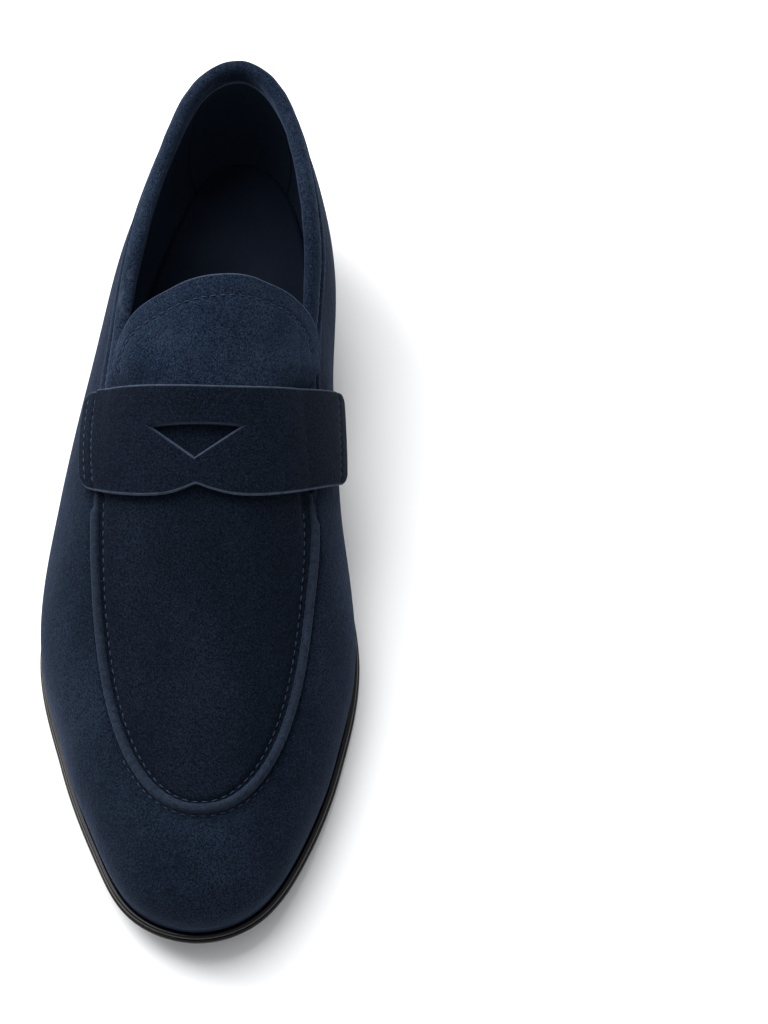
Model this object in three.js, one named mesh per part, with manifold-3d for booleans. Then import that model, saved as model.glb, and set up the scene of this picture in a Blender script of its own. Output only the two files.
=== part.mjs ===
// A man's right penny loafer in suede, built in layers over the shape of a shoemaker's last.
// Millimetres, +Z up, toe towards -Y, outer (lateral) side towards -X. The ground is Z = 0.
import * as THREE from "three";
import { mergeVertices } from "three/addons/utils/BufferGeometryUtils.js";
import Module from "manifold-3d";

const wasm = await Module();
wasm.setup();
const { PI, abs, acos, cos, max, min, sign, sin } = Math;

// ---------- the last ----------
const LAST_LENGTH = 286.5; // along the feather line, where the upper meets the sole
const BALL_WIDTH = 95.2;
const INSTEP_HEIGHT = 81.5; // of the last's crest over the feather line
const STATIONS = 10;
// Half widths as shares of the ball width, and crest heights as shares of the instep height,
// at equal steps of the station angle from the toe to the heel.
const LATERAL = [0, 0.183, 0.31, 0.446, 0.557, 0.513, 0.4, 0.313, 0.221, 0.13, 0];
const MEDIAL = [0, 0.172, 0.294, 0.393, 0.443, 0.358, 0.279, 0.269, 0.216, 0.12, 0];
const CREST = [0, 0.184, 0.294, 0.405, 0.552, 0.761, 0.939, 0.994, 1];
const CREST_END = 0.8; // the station where the crest starts to close over the heel
const HEEL_CURVE = 2.5;
const SQUARENESS = [2.1, 2.1, 2.2, 2.3, 2.35, 2.3, 2.2, 2.2, 2.2, 2.2, 2.2];
// How far the sides swell out between the feather line and the crest, in mm.
const SWELL_LATERAL = [1.2, 1.3, 1.6, 2, 2.5, 3.5, 6, 6.5, 5, 4, 3];
const SWELL_MEDIAL = [1.2, 1.3, 1.6, 2, 2, 4, 7, 7, 5, 4, 3];
const SWELL_SHARE = 0.78; // of the crest height, where the swell has died out
const SWELL_LEAST = 20; // the crest height that the low toe counts as

// ---------- heights of the feather line over the ground ----------
const BOTTOM_THICKNESS = 7; // feather line to the underside of the outsole
const TOE_SPRING = 9;
const HEEL_RISE = 20;
const BALL_PLACE = 0.345 * LAST_LENGTH;
const RISE_START = 0.366 * LAST_LENGTH;
const RISE_END = 0.96 * LAST_LENGTH;

// ---------- layers of the upper, outwards from the last ----------
const GAP = 0.3; // clearance between neighbouring pieces
const LINING = 0.9;
const STIFFENER = 0.9;
const SUEDE = 1.4;
const STRAP_LINING = 0.9;
const STRAP = 1.6;
const TONGUE_LINING = 1.0;
const TONGUE = 1.5;
const STIFFENER_IN = LINING + GAP;
const TONGUE_IN = STIFFENER_IN + TONGUE_LINING + 0.4;
const SUEDE_IN = STIFFENER_IN + STIFFENER + GAP;
const SUEDE_OUT = SUEDE_IN + SUEDE;
const STRAP_CLEAR = 1; // the strap lies loosely over the wall and the apron
const STRAP_LINING_IN = SUEDE_OUT + STRAP_CLEAR;
const STRAP_IN = STRAP_LINING_IN + STRAP_LINING + GAP;
const STRAP_OUT = STRAP_IN + STRAP;

// ---------- edges on the upper ----------
const INSTEP = LAST_LENGTH / 2; // the strap lies about here; lengths run from the toe end of the last
const TOPLINE = [51, 52, 54, 56.2, 57.6, 58.6, 58.8]; // height over the feather line, TOPLINE_START to the heel
const TOPLINE_START = 0.4;
const TOPLINE_TILT = 3; // the lateral side stands this much higher beside the tongue, the medial side lower
const COLLAR_HEIGHT = 8;
const COLLAR_THIN = 1.1;
const COLLAR_FROM = { lateral: INSTEP + 26.75, medial: INSTEP + 30.25 }; // where the collar leaves the strap
const APRON_TIP = 29;
const BALL_LATERAL = max(...LATERAL) * BALL_WIDTH;
const BALL_MEDIAL = max(...MEDIAL) * BALL_WIDTH;
const APRON_LATERAL = { halfWidth: BALL_LATERAL - 16.7, straightFrom: INSTEP - 13.25, power: 2.05, taper: 0 };
const APRON_MEDIAL = { halfWidth: BALL_MEDIAL - 12.2, straightFrom: INSTEP - 31.25, power: 2.25, taper: 0.36 };
const APRON_TAPER_LENGTH = 50;
const PIPING_RADIUS = 1.6;

// ---------- strap and tongue ----------
const STRAP_FRONT = INSTEP - 16; // along the crest
const STRAP_BACK = INSTEP + 16.2;
const APRON_BACK = STRAP_BACK - 2.5;
const STRAP_END_LATERAL = 42; // height of the strap's ends over the feather line
const STRAP_END_MEDIAL = 26;
const STRAP_SWEEP_LATERAL = 9; // how far back the strap's ends lie
const STRAP_SWEEP_MEDIAL = 21;
const SCALLOP_DEPTH = 3.6;
const SCALLOP_AT = -0.08;
const SLOT_AT = { x: -5.5, s: INSTEP }; // the coin slot, a triangle with its point to the toe
const SLOT_HALF_WIDTH = 13.8;
const SLOT_LENGTH = 10.5;
const TONGUE_TIP = INSTEP + 49.6;
const TONGUE_TILT = 4.2; // its tip lies this much farther back towards the medial side
const TONGUE_EDGE_LATERAL = 55;
const TONGUE_EDGE_MEDIAL = 47.8;
const TONGUE_GAP = 1; // to the strap's back edge
const TONGUE_SHARE = 0.7; // of the strap's half width, which the tongue's own half width comes to
const TONGUE_LIFT = 4; // the sides of the tongue lie over the collar
const TONGUE_LIFT_FROM = 0.4; // the share of its half width where that lift starts
const TONGUE_ROUNDNESS = { lateral: 3.1, medial: 5.5 };

// ---------- bottom ----------
const MARGIN_WIDTH = 9; // of the upper turned under the insole board
const BOARD = 2;
const MARGIN = 1.4;
const FOAM = 2;
const SOCK = 1.2;
const BOARD_TOP = -GAP;
const BOARD_BOTTOM = BOARD_TOP - BOARD;
const MARGIN_TOP = BOARD_BOTTOM - GAP;
const MARGIN_BOTTOM = MARGIN_TOP - MARGIN;
const OUTSOLE_TOP = MARGIN_BOTTOM - GAP;
const SOLE_EDGE = 2.5; // how far the sole stands out from the upper
const HEEL_INSET = 1.4; // the heel is this much smaller at the ground than at its top
const TOP_PIECE = 5.5;
const LIFTS = 3;
const NAIL_RADIUS = 1.1;
const NAIL_HEAD_RADIUS = 2.2;
const NAIL_HEAD = 0.7;
const NAIL_TIP = 3; // over the ground
const NAIL_SPREAD = 0.0735 * BALL_WIDTH;
// The nails' places across the heel, in nail spreads, and how far they stand before the last's heel end.
const NAIL_ROWS = [[-1, 48.5], [1, 48.5], [-0.93, 30.5], [0.93, 30.5], [0, 19.5]];
const NAILS = NAIL_ROWS.map(([across, back]) => [across * NAIL_SPREAD, LAST_LENGTH - back]);
const SHANK = { from: INSTEP + 6.75, to: LAST_LENGTH - 57.5, width: 12, thickness: 1.1 };

// ---------- places round the shoe ----------
// Every layer has its rings at the same places, so that their flat facets stay parallel.
// Places are counted from the toe, and RING_STEPS is the heel.
const RING_STEPS = 30;
const HEIGHT_STEPS = 6;
const VAMP_EDGE = 9; // where the vamp lining meets the quarter linings
const GRIP_EDGE = 26; // where these meet the heel grip
const COUNTER_START = 21;
const PUFF_EDGE = 7;
const BACK_STRIP_EDGE = 29;
const HEEL_BREAST = 20;
const CORK = [2, 15];
const LINING_BACK = INSTEP + 6.75; // length at which the vamp lining ends over the instep
const SEAM_GAP = 0.002;

// ---------- curves ----------
const clamp = (v, lo, hi) => min(hi, max(lo, v));
const lerp = (a, b, t) => a + (b - a) * t;
const smooth = (t) => clamp(t, 0, 1) ** 2 * (3 - 2 * clamp(t, 0, 1));
const spread = (a, b, n) => Array.from({ length: n + 1 }, (_, i) => lerp(a, b, i / n));

// A Catmull-Rom curve through a table at equal steps, straight on at its ends.
function curve(table, x) {
  const last = table.length - 1;
  const i = min(Math.floor(clamp(x, 0, last)), last - 1);
  const f = clamp(x, 0, last) - i;
  const at = (k) => (k < 0 ? 2 * table[0] - table[1] : k > last ? 2 * table[last] - table[last - 1] : table[k]);
  const [a, b, c, d] = [at(i - 1), at(i), at(i + 1), at(i + 2)];
  return b + 0.5 * f * (c - a + f * (2 * a - 5 * b + 4 * c - d + f * (3 * (b - c) + d - a)));
}

// p is the station, 0 at the toe and 1 at the heel. s is the length along the last in mm.
const lengthAt = (p) => (LAST_LENGTH * (1 - cos(PI * p))) / 2;
const stationAt = (s) => acos(clamp(1 - (2 * s) / LAST_LENGTH, -1, 1)) / PI;
const halfWidth = (side, p) => BALL_WIDTH * curve(side < 0 ? LATERAL : MEDIAL, p * STATIONS);
const squareness = (p) => curve(SQUARENESS, p * STATIONS);

function crest(p) {
  if (p <= CREST_END) return INSTEP_HEIGHT * curve(CREST, p * STATIONS);
  const t = (p - CREST_END) / (1 - CREST_END);
  return INSTEP_HEIGHT * max(0, 1 - t ** HEEL_CURVE) ** (1 / HEEL_CURVE);
}

// Height of the feather line over the ground at length s.
function seat(s) {
  const toe = TOE_SPRING * max(0, 1 - s / BALL_PLACE) ** 2.1;
  const heel = HEEL_RISE * smooth((s - RISE_START) / (RISE_END - RISE_START));
  return BOTTOM_THICKNESS + toe + heel;
}

// The station in lo..hi where the crest has height z, for a crest that rises or falls there.
function crestStation(z, lo, hi) {
  const rising = crest(hi) > crest(lo);
  for (let i = 0; i < 40; i++) {
    const mid = (lo + hi) / 2;
    if (crest(mid) < z === rising) lo = mid;
    else hi = mid;
  }
  return (lo + hi) / 2;
}

// ---------- the last's surface ----------
// The point `off` outside the last over its surface point at half section x, station p and height z.
function skin(x, side, p, z, off) {
  const w = max(halfWidth(side, p), 0.05);
  const h = max(crest(p), 0.05);
  const n = squareness(p);
  const lo = clamp(p - 0.002, 0.001, 0.999);
  const hi = clamp(p + 0.002, 0.001, 0.999);
  const widthSlope = (halfWidth(side, hi) - halfWidth(side, lo)) / (hi - lo);
  const crestSlope = (crest(hi) - crest(lo)) / (hi - lo);
  const up = clamp(z / h, 0, 1) ** n;
  const out = 1 - up;
  const perStation = ((LAST_LENGTH * PI) / 2) * max(sin(PI * p), 0.012);
  const normal = new THREE.Vector3(
    (sign(x) * out ** ((n - 1) / n)) / w,
    -((out * widthSlope) / w + (up * crestSlope) / h) / perStation,
    clamp(z / h, 0, 1) ** (n - 1) / h,
  ).normalize();
  const swell = curve(side < 0 ? SWELL_LATERAL : SWELL_MEDIAL, p * STATIONS);
  const rise = clamp(z / (SWELL_SHARE * (p < CREST_END ? max(h, SWELL_LEAST) : INSTEP_HEIGHT)), 0, 1);
  const d = swell * sin(PI * rise ** 0.8) + off;
  const s = lengthAt(p) + normal.y * d;
  return new THREE.Vector3(x + normal.x * d, s - LAST_LENGTH / 2, seat(s) + z + normal.z * d);
}

// The last's own surface in the ring chart: u runs round the shoe, 0 at the toe, -1 and 1 at the heel,
// with the lateral side below 0, and z is the height over the feather line.
function ringBase(u, z) {
  const top = crestStation(INSTEP_HEIGHT, 0, CREST_END);
  const s0 = lengthAt(crestStation(z, 0, top));
  const s1 = lengthAt(crestStation(z, CREST_END, 1));
  const s = z <= 0 ? lengthAt(abs(u)) : lerp(s0, s1, (1 - cos(PI * abs(u))) / 2);
  const p = stationAt(s);
  const n = squareness(p);
  const onCrest = abs(u) < 1e-9 || abs(u) > 1 - 1e-9;
  const f = onCrest ? 0 : max(0, 1 - clamp(z / max(crest(p), 1e-3), 0, 1) ** n) ** (1 / n);
  return { x: sign(u) * halfWidth(u, p) * f, p, s };
}

function ringPoint(u, z, off) {
  const base = ringBase(u, max(z, 0));
  const point = skin(base.x, u, base.p, max(z, 0), off);
  point.z += min(z, 0);
  return point;
}

// The section chart: s along the last, and an angle round its cross-section, 0 on the crest.
function archPoint(s, angle, off) {
  const p = stationAt(s);
  const n = squareness(p);
  const x = sign(angle) * halfWidth(angle, p) * abs(sin(angle)) ** (2 / n);
  return skin(x, angle, p, crest(p) * max(0, cos(angle)) ** (2 / n), off);
}

// The section angle at length s where the surface is at height z.
const angleAt = (s, z) => acos(clamp(z / crest(stationAt(s)), 0, 1) ** (squareness(stationAt(s)) / 2));

// The plan chart: the surface over the plan point x, s.
function planPoint(x, s, off) {
  const p = stationAt(s);
  const n = squareness(p);
  const share = clamp(abs(x) / halfWidth(x, p), 0, 1);
  return skin(x, x, p, crest(p) * max(0, 1 - share ** n) ** (1 / n), off);
}

// ---------- solids ----------
// A closed geometry from welded triangles that faces outwards.
function closedGeometry(points, faces) {
  const raw = new THREE.BufferGeometry().setFromPoints(points);
  raw.setIndex(faces.flat());
  const flat = raw.toNonIndexed();
  const welded = mergeVertices(flat, 1e-3);
  const index = welded.index.array;
  const kept = [];
  for (let i = 0; i < index.length; i += 3) {
    const [a, b, c] = [index[i], index[i + 1], index[i + 2]];
    if (a !== b && b !== c && a !== c) kept.push(a, b, c);
  }
  if (signedVolume(welded.attributes.position, kept) < 0) kept.reverse();
  welded.setIndex(kept);
  return welded;
}

function signedVolume(position, index) {
  const corner = (i) => new THREE.Vector3().fromBufferAttribute(position, index[i]);
  let volume = 0;
  for (let i = 0; i < index.length; i += 3) {
    volume += corner(i).dot(corner(i + 1).cross(corner(i + 2)));
  }
  return volume;
}

// A solid through rings of equal count. A ring's points go out along one face and back along the
// other, so that point j lies across from point (count - 1 - j), which is how its ends are capped.
function loft(rings, closed = false) {
  const count = rings[0].length;
  const faces = [];
  const quad = (a, b, c, d) => faces.push([a, b, c], [a, c, d]);
  const turns = closed ? rings.length : rings.length - 1;
  for (let i = 0; i < turns; i++) {
    const here = i * count;
    const next = ((i + 1) % rings.length) * count;
    for (let j = 0; j < count; j++) {
      const k = (j + 1) % count;
      quad(here + j, here + k, next + k, next + j);
    }
  }
  if (!closed) {
    const end = (rings.length - 1) * count;
    for (let j = 0; j < count / 2 - 1; j++) {
      quad(count - 1 - j, count - 2 - j, j + 1, j);
      quad(end + j, end + j + 1, end + count - 2 - j, end + count - 1 - j);
    }
  }
  return closedGeometry(rings.flat(), faces);
}

// A sheet between two offsets: rows along the first list, `point(row, column, off)` on each.
function sheet(rows, columns, point, inner, outer) {
  return loft(
    rows.map((row) => [
      ...columns.map((column) => point(row, column, outer)),
      ...columns.toReversed().map((column) => point(row, column, inner)),
    ]),
  );
}

// Ring places from step a to step b, both counted from the toe.
const places = (a, b) => spread(a, b, abs(b - a)).map((k) => k / RING_STEPS);

// Ring places round the heel, from step a on the lateral side to the same step on the medial side.
function roundHeel(a) {
  const lateral = places(-a, -RING_STEPS);
  return [...lateral, ...lateral.slice(0, -1).map((u) => -u).toReversed()];
}

// Ring places once round the shoe.
const roundShoe = () => places(-RING_STEPS, RING_STEPS - 1);

// A plate under or on the last between two steps, with an edge profile of [off, z] points
// from its underside up. `level` may replace the height of a point.
function plate(from, to, profile, level = (point) => point) {
  const rings = places(from, to).map((q) => {
    const side = (u) => profile.map(([off, z]) => level(ringPoint(u, z, off), z));
    return [...side(-q || -1e-12), ...side(q || 1e-12).toReversed()];
  });
  return loft(rings);
}

// A band along ring places, in the profile [off, z] of `profileAt`.
function band(us, profileAt, closed) {
  return loft(us.map((u) => profileAt(u).map(([off, z]) => ringPoint(u, z, off))), closed);
}

function toManifold(geometry) {
  const bare = geometry.index ? geometry.toNonIndexed() : geometry.clone();
  bare.deleteAttribute("normal");
  bare.deleteAttribute("uv");
  const merged = mergeVertices(bare, 1e-4);
  return new wasm.Manifold(
    new wasm.Mesh({
      numProp: 3,
      vertProperties: merged.attributes.position.array,
      triVerts: new Uint32Array(merged.index.array),
    }),
  );
}

function cutAway(geometry, ...tools) {
  let solid = toManifold(geometry);
  for (const tool of tools) solid = solid.subtract(toManifold(tool));
  const mesh = solid.getMesh();
  return new THREE.BufferGeometry()
    .setAttribute("position", new THREE.BufferAttribute(mesh.vertProperties, 3))
    .setIndex(new THREE.BufferAttribute(mesh.triVerts, 1));
}

function pin(radius, x, s, bottom, top, sides = 8) {
  return new THREE.CylinderGeometry(radius, radius, top - bottom, sides)
    .rotateX(PI / 2)
    .translate(x, s - LAST_LENGTH / 2, (top + bottom) / 2);
}

// ---------- edges of the upper ----------
function topline(u) {
  const back = (abs(u) - TOPLINE_START) / (1 - TOPLINE_START);
  return curve(TOPLINE, back * (TOPLINE.length - 1)) - sign(u) * TOPLINE_TILT * (1 - smooth(back));
}

// The height of the wall's top edge under the collar.
const collarFoot = (u) => topline(sign(u) * max(abs(u), TOPLINE_START)) - COLLAR_HEIGHT - 2 * GAP;

// A point of the apron seam in plan. t is 0 at the tip, -1 and 1 where its sides run straight,
// and beyond that the sides go on towards the heel, one millimetre for each 0.01.
function seamPoint(t) {
  const side = t < 0 ? APRON_LATERAL : APRON_MEDIAL;
  const angle = (min(abs(t), 1) * PI) / 2;
  const beyond = max(0, abs(t) - 1) * 100;
  const length = side.straightFrom - APRON_TIP;
  const narrowing = side.taper * (beyond / APRON_TAPER_LENGTH) ** 2;
  return new THREE.Vector2(
    sign(t) * side.halfWidth * (sin(angle) ** (2 / side.power) - narrowing),
    side.straightFrom - length * cos(angle) ** (2 / side.power) + beyond,
  );
}

// The seam point t moved out of the apron by d in plan.
function seamOffset(t, d) {
  const tangent = seamPoint(t + 1e-3).sub(seamPoint(t - 1e-3)).normalize();
  return seamPoint(t).add(new THREE.Vector2(tangent.y, -tangent.x).multiplyScalar(d));
}

// Distance from the seam in plan, positive outside the apron.
const seamLine = spread(-1.5, 1.5, 150).map(seamPoint);
function outsideSeam(x, s) {
  const point = new THREE.Vector2(x, s);
  let best = Infinity;
  let outside = false;
  for (let i = 0; i + 1 < seamLine.length; i++) {
    const along = seamLine[i + 1].clone().sub(seamLine[i]);
    const to = point.clone().sub(seamLine[i]);
    const t = clamp(to.dot(along) / along.lengthSq(), 0, 1);
    const away = to.addScaledVector(along, -t);
    if (away.length() < best) {
      best = away.length();
      outside = along.cross(away) < 0;
    }
  }
  return outside ? best : -best;
}

// The height at which the ring place u comes within `clear` of the apron seam.
function seamHeight(u, clear) {
  let lo = 0;
  let hi = collarFoot(u);
  for (let i = 0; i < 30; i++) {
    const mid = (lo + hi) / 2;
    const base = ringBase(u, mid);
    if (outsideSeam(base.x, base.s) > clear) lo = mid;
    else hi = mid;
  }
  return lo;
}

const SEAM_CLEAR = PIPING_RADIUS + GAP;
const WALL_TURN = [0.31, 0.41]; // under the strap, the wall's top edge leaves the seam for the collar

function wallTop(u) {
  const t = smooth((abs(u) - WALL_TURN[0]) / (WALL_TURN[1] - WALL_TURN[0]));
  return lerp(t < 1 ? seamHeight(u, SEAM_CLEAR) : 0, collarFoot(u), t);
}

// Heights of the layers' rings at the place u, from the feather line to the wall's top edge.
const levels = (u) => {
  const top = wallTop(u);
  return spread(0, 1, HEIGHT_STEPS).map((t) => top * t);
};

// ---------- pieces of the upper ----------
function upperWall() {
  const profile = (u) => {
    const heights = levels(u);
    return [
      [-MARGIN_WIDTH, MARGIN_BOTTOM],
      [SUEDE_OUT - 1, MARGIN_BOTTOM],
      [SUEDE_OUT, MARGIN_BOTTOM + 1],
      ...heights.map((z) => [SUEDE_OUT, z]),
      ...heights.toReversed().map((z) => [SUEDE_IN, z]),
      [SUEDE_IN, MARGIN_TOP + 0.5],
      [SUEDE_IN - 0.5, MARGIN_TOP],
      [-MARGIN_WIDTH, MARGIN_TOP],
    ];
  };
  return band(roundShoe(), profile, true);
}

function apron() {
  const end = (side) => 1 + (APRON_BACK - side.straightFrom) / 100;
  const rows = spread(0, 1, 18);
  const columns = spread(-1, 1, 12).map((t) => sin((t * PI) / 2));
  const point = (row, column, off) => {
    const lateral = seamOffset(-end(APRON_LATERAL) * row - 1e-6, -SEAM_CLEAR);
    const medial = seamOffset(end(APRON_MEDIAL) * row + 1e-6, -SEAM_CLEAR);
    const t = (column + 1) / 2;
    return planPoint(lerp(lateral.x, medial.x, t), lerp(lateral.y, medial.y, t), off);
  };
  return sheet(rows, columns, point, SUEDE_IN, SUEDE_OUT);
}

function piping() {
  const stop = (side, s) => 1 + (s - side.straightFrom) / 100;
  const lateralEnd = -stop(APRON_LATERAL, STRAP_FRONT);
  const medialEnd = stop(APRON_MEDIAL, STRAP_FRONT + 1);
  const centre = (t) => {
    const at = seamPoint(t);
    return planPoint(at.x, at.y, SUEDE_OUT - 0.3);
  };
  const rings = spread(lateralEnd, medialEnd, 64).map((t) => {
    const at = seamPoint(t);
    const middle = centre(t);
    const along = centre(t + 0.004).sub(centre(t - 0.004)).normalize();
    const out = planPoint(at.x, at.y, SUEDE_OUT + 1).sub(middle).normalize();
    const across = new THREE.Vector3().crossVectors(along, out).normalize();
    return spread(0, 5, 5).map((k) =>
      middle
        .clone()
        .addScaledVector(across, PIPING_RADIUS * cos((k * PI) / 3))
        .addScaledVector(out, PIPING_RADIUS * sin((k * PI) / 3)),
    );
  });
  return loft(rings);
}

// Front and back edges of the strap. g is -1 at its lateral end and 1 at its medial end.
function strapFront(g) {
  const sweep = g < 0 ? STRAP_SWEEP_LATERAL * -(g ** 3) : STRAP_SWEEP_MEDIAL * g * g;
  return STRAP_FRONT + SCALLOP_DEPTH * Math.exp(-((abs(g - SCALLOP_AT) / 0.13) ** 1.3)) + sweep;
}

const strapBack = (g) => STRAP_BACK + (g < 0 ? STRAP_SWEEP_LATERAL : STRAP_SWEEP_MEDIAL) * g * g;

// The section angle that spreads g from -1 to 1 between two edge heights.
const sideAngle = (s, g, lateral, medial) => g * angleAt(s, g < 0 ? lateral : medial);

const slotTool = (grow) => {
  const half = SLOT_HALF_WIDTH + grow;
  const shape = new THREE.Shape();
  shape.moveTo(-half, 0);
  shape.lineTo(0, -SLOT_LENGTH - grow);
  shape.lineTo(half, 0);
  shape.quadraticCurveTo(0, 2 + grow, -half, 0);
  const top = SLOT_AT.s + SLOT_LENGTH / 2 - LAST_LENGTH / 2;
  return new THREE.ExtrudeGeometry(shape, { depth: 200, bevelEnabled: false, curveSegments: 6 }).translate(
    SLOT_AT.x,
    top,
    0,
  );
};

function strapLayer(inner, outer, inset) {
  const columns = spread(-1, 1, 28);
  const rows = spread(0, 1, 5);
  const share = inset / (STRAP_BACK - STRAP_FRONT);
  const point = (g, t, off) => {
    const s = lerp(strapFront(g), strapBack(g), lerp(share, 1 - share, t));
    return archPoint(s, sideAngle(s, g, STRAP_END_LATERAL, STRAP_END_MEDIAL), off);
  };
  return cutAway(sheet(columns, rows, point, inner, outer), slotTool(inset));
}

function tongueLayer(inner, outer, inset) {
  const columns = spread(-1, 1, 22).map((g) => sin((g * PI) / 2));
  const rows = spread(0, 1, 7);
  const point = (g, t, off) => {
    const root = strapBack(g * TONGUE_SHARE) + TONGUE_GAP;
    const roundness = g < 0 ? TONGUE_ROUNDNESS.lateral : TONGUE_ROUNDNESS.medial;
    const round = max(0, 1 - abs(g) ** roundness) ** (1 / roundness);
    const tip = root + (TONGUE_TIP + TONGUE_TILT * g - inset - root) * round;
    const s = lerp(root, tip, t);
    const lift = TONGUE_LIFT * smooth((abs(g) - TONGUE_LIFT_FROM) / 0.4);
    return archPoint(s, sideAngle(s, g, TONGUE_EDGE_LATERAL + inset, TONGUE_EDGE_MEDIAL + inset), off + lift);
  };
  return sheet(columns, rows, point, inner, outer);
}

// A band round the collar in the profile [off, z] of `profileAt`. It starts square to the shoe's
// length, where the collar comes out of the strap, and is thinner under the tongue.
function collarBand(profileAt, back) {
  const top = crestStation(INSTEP_HEIGHT, 0, CREST_END);
  const startAt = (side, z) => {
    const s0 = lengthAt(crestStation(z, 0, top));
    const s1 = lengthAt(crestStation(z, CREST_END, 1));
    const from = (side < 0 ? COLLAR_FROM.lateral : COLLAR_FROM.medial) + back;
    return acos(clamp(1 - (2 * (from - s0)) / (s1 - s0), -1, 1)) / PI;
  };
  const steps = 18;
  const rings = spread(-1, 1, steps * 2).map((t) => {
    const side = t <= 0 ? -1 : 1;
    const middle = lerp(1, startAt(side, topline(side * TOPLINE_START) - COLLAR_HEIGHT / 2), abs(t));
    const thin = COLLAR_THIN * smooth((abs(t) - 0.65) / 0.25);
    return profileAt(topline(side * middle)).map(([off, z]) =>
      ringPoint(side * lerp(1, startAt(side, z), abs(t)), z, off > 2.5 ? off - thin : off),
    );
  });
  return loft(rings);
}

function collarBinding() {
  const h = COLLAR_HEIGHT;
  const profile = (z) => [
    [5, z - h], [5.4, z - 4], [4.7, z - 1.2], [2.9, z], [0.9, z - 0.3], [-0.5, z - 1.6], [-0.9, z - h],
    [0.1, z - h], [0.4, z - 2.3], [1.3, z - 1.2], [2.7, z - 0.9], [3.8, z - 1.8], [4.4, z - 4], [4.1, z - h],
  ];
  return collarBand(profile, 0);
}

function collarFoam() {
  const h = COLLAR_HEIGHT - GAP;
  const profile = (z) => [[3.7, z - h], [4, z - 4], [2.9, z - 2], [1.7, z - 2], [0.8, z - 3.4], [0.5, z - h]];
  return collarBand(profile, 1);
}

// A sheet in the ring chart between two offsets, through the heights of `heightsAt`.
function ringSheet(us, heightsAt, inner, outer) {
  return loft(
    us.map((u) => {
      const heights = heightsAt(u);
      return [
        ...heights.map((z) => ringPoint(u, z, outer)),
        ...heights.toReversed().map((z) => ringPoint(u, z, inner)),
      ];
    }),
  );
}

// The height at which the ring place u reaches length s.
function heightAtLength(u, s) {
  let lo = 0;
  let hi = INSTEP_HEIGHT * 0.99;
  for (let i = 0; i < 30; i++) {
    const mid = (lo + hi) / 2;
    if (ringBase(u, mid).s < s) lo = mid;
    else hi = mid;
  }
  return lo;
}

const liningLevels = (u) => [-BOARD, ...levels(u)];

function vampLining() {
  const heights = (u) => {
    const low = liningLevels(u);
    const over = spread(low.at(-1), heightAtLength(u, LINING_BACK), 5).slice(1);
    return [...low, ...over];
  };
  return ringSheet(places(-VAMP_EDGE, VAMP_EDGE), heights, 0, LINING);
}

function quarterLining(side) {
  const us = places(side * VAMP_EDGE, side * GRIP_EDGE);
  us[0] += side * SEAM_GAP;
  us[us.length - 1] -= side * SEAM_GAP;
  return ringSheet(us, liningLevels, 0, LINING);
}

const heelGrip = () => ringSheet(roundHeel(GRIP_EDGE), liningLevels, 0, LINING);

// The heights of a stiffener, up to `top` as a share of the wall's height.
const lowLevels = (u, top) => {
  const height = levels(u).at(-1);
  return levels(u).map((z) => min(z, top * height));
};

function toePuff() {
  const heights = (u) => lowLevels(u, 0.8 - 0.5 * abs((u * RING_STEPS) / PUFF_EDGE) ** 4);
  return ringSheet(places(-PUFF_EDGE, PUFF_EDGE), heights, STIFFENER_IN, STIFFENER_IN + STIFFENER);
}

function heelCounter() {
  const rise = (u) => smooth((abs(u) * RING_STEPS - COUNTER_START) / 4);
  const heights = (u) => lowLevels(u, lerp(0.5, 0.9, rise(u)));
  return ringSheet(roundHeel(COUNTER_START), heights, STIFFENER_IN, STIFFENER_IN + STIFFENER);
}

function backStrip() {
  const inner = SUEDE_OUT + GAP;
  return ringSheet(roundHeel(BACK_STRIP_EDGE), levels, inner, inner + LINING);
}

// ---------- pieces of the bottom ----------
function soleRand() {
  const inner = SUEDE_OUT + GAP;
  const outer = SUEDE_OUT + SOLE_EDGE - 0.3;
  const section = [
    [inner, MARGIN_BOTTOM], [outer - 0.2, MARGIN_BOTTOM], [outer, MARGIN_BOTTOM + 0.8],
    [outer - 0.2, MARGIN_BOTTOM + 1.7], [outer - 0.8, MARGIN_BOTTOM + 2.1], [inner, MARGIN_BOTTOM + 2.1],
  ];
  return band(roundShoe(), () => section, true);
}

const nailTools = () => NAILS.map(([x, s]) => pin(NAIL_RADIUS + GAP, x, s, NAIL_TIP - GAP, 60));

function outsole() {
  const edge = SUEDE_OUT + SOLE_EDGE;
  const profile = [
    [edge - 1.3, -BOTTOM_THICKNESS], [edge, -BOTTOM_THICKNESS + 0.8],
    [edge, OUTSOLE_TOP - 0.7], [edge - 0.8, OUTSOLE_TOP],
  ];
  return cutAway(plate(0, RING_STEPS, profile), ...nailTools());
}

// One layer of the heel, between two shares of the height from the top piece to the outsole.
function heelLayer(lower, upper, inset) {
  const edge = SUEDE_OUT + SOLE_EDGE - 0.8;
  const level = (point, share) => {
    const under = seat(point.y + LAST_LENGTH / 2) - BOTTOM_THICKNESS - GAP;
    point.z = lerp(TOP_PIECE + GAP, under, share) - (share < 1 && share === upper ? GAP : 0);
    return point;
  };
  const profile = [[edge - inset[0], lower], [edge - inset[1], upper]];
  return plate(HEEL_BREAST, RING_STEPS, profile, level);
}

function heelLift(k) {
  const inset = (i) => (HEEL_INSET * (LIFTS - i)) / (LIFTS + 1);
  const layer = heelLayer(k / LIFTS, (k + 1) / LIFTS, [inset(k), inset(k + 1)]);
  return cutAway(layer, ...nailTools());
}

function topPiece() {
  const edge = SUEDE_OUT + SOLE_EDGE - 0.8;
  const profile = [[edge - HEEL_INSET, 0], [edge - HEEL_INSET * 0.8, TOP_PIECE]];
  const flat = (point, z) => point.setZ(z);
  return cutAway(plate(HEEL_BREAST, RING_STEPS, profile, flat), ...nailTools());
}

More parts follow.
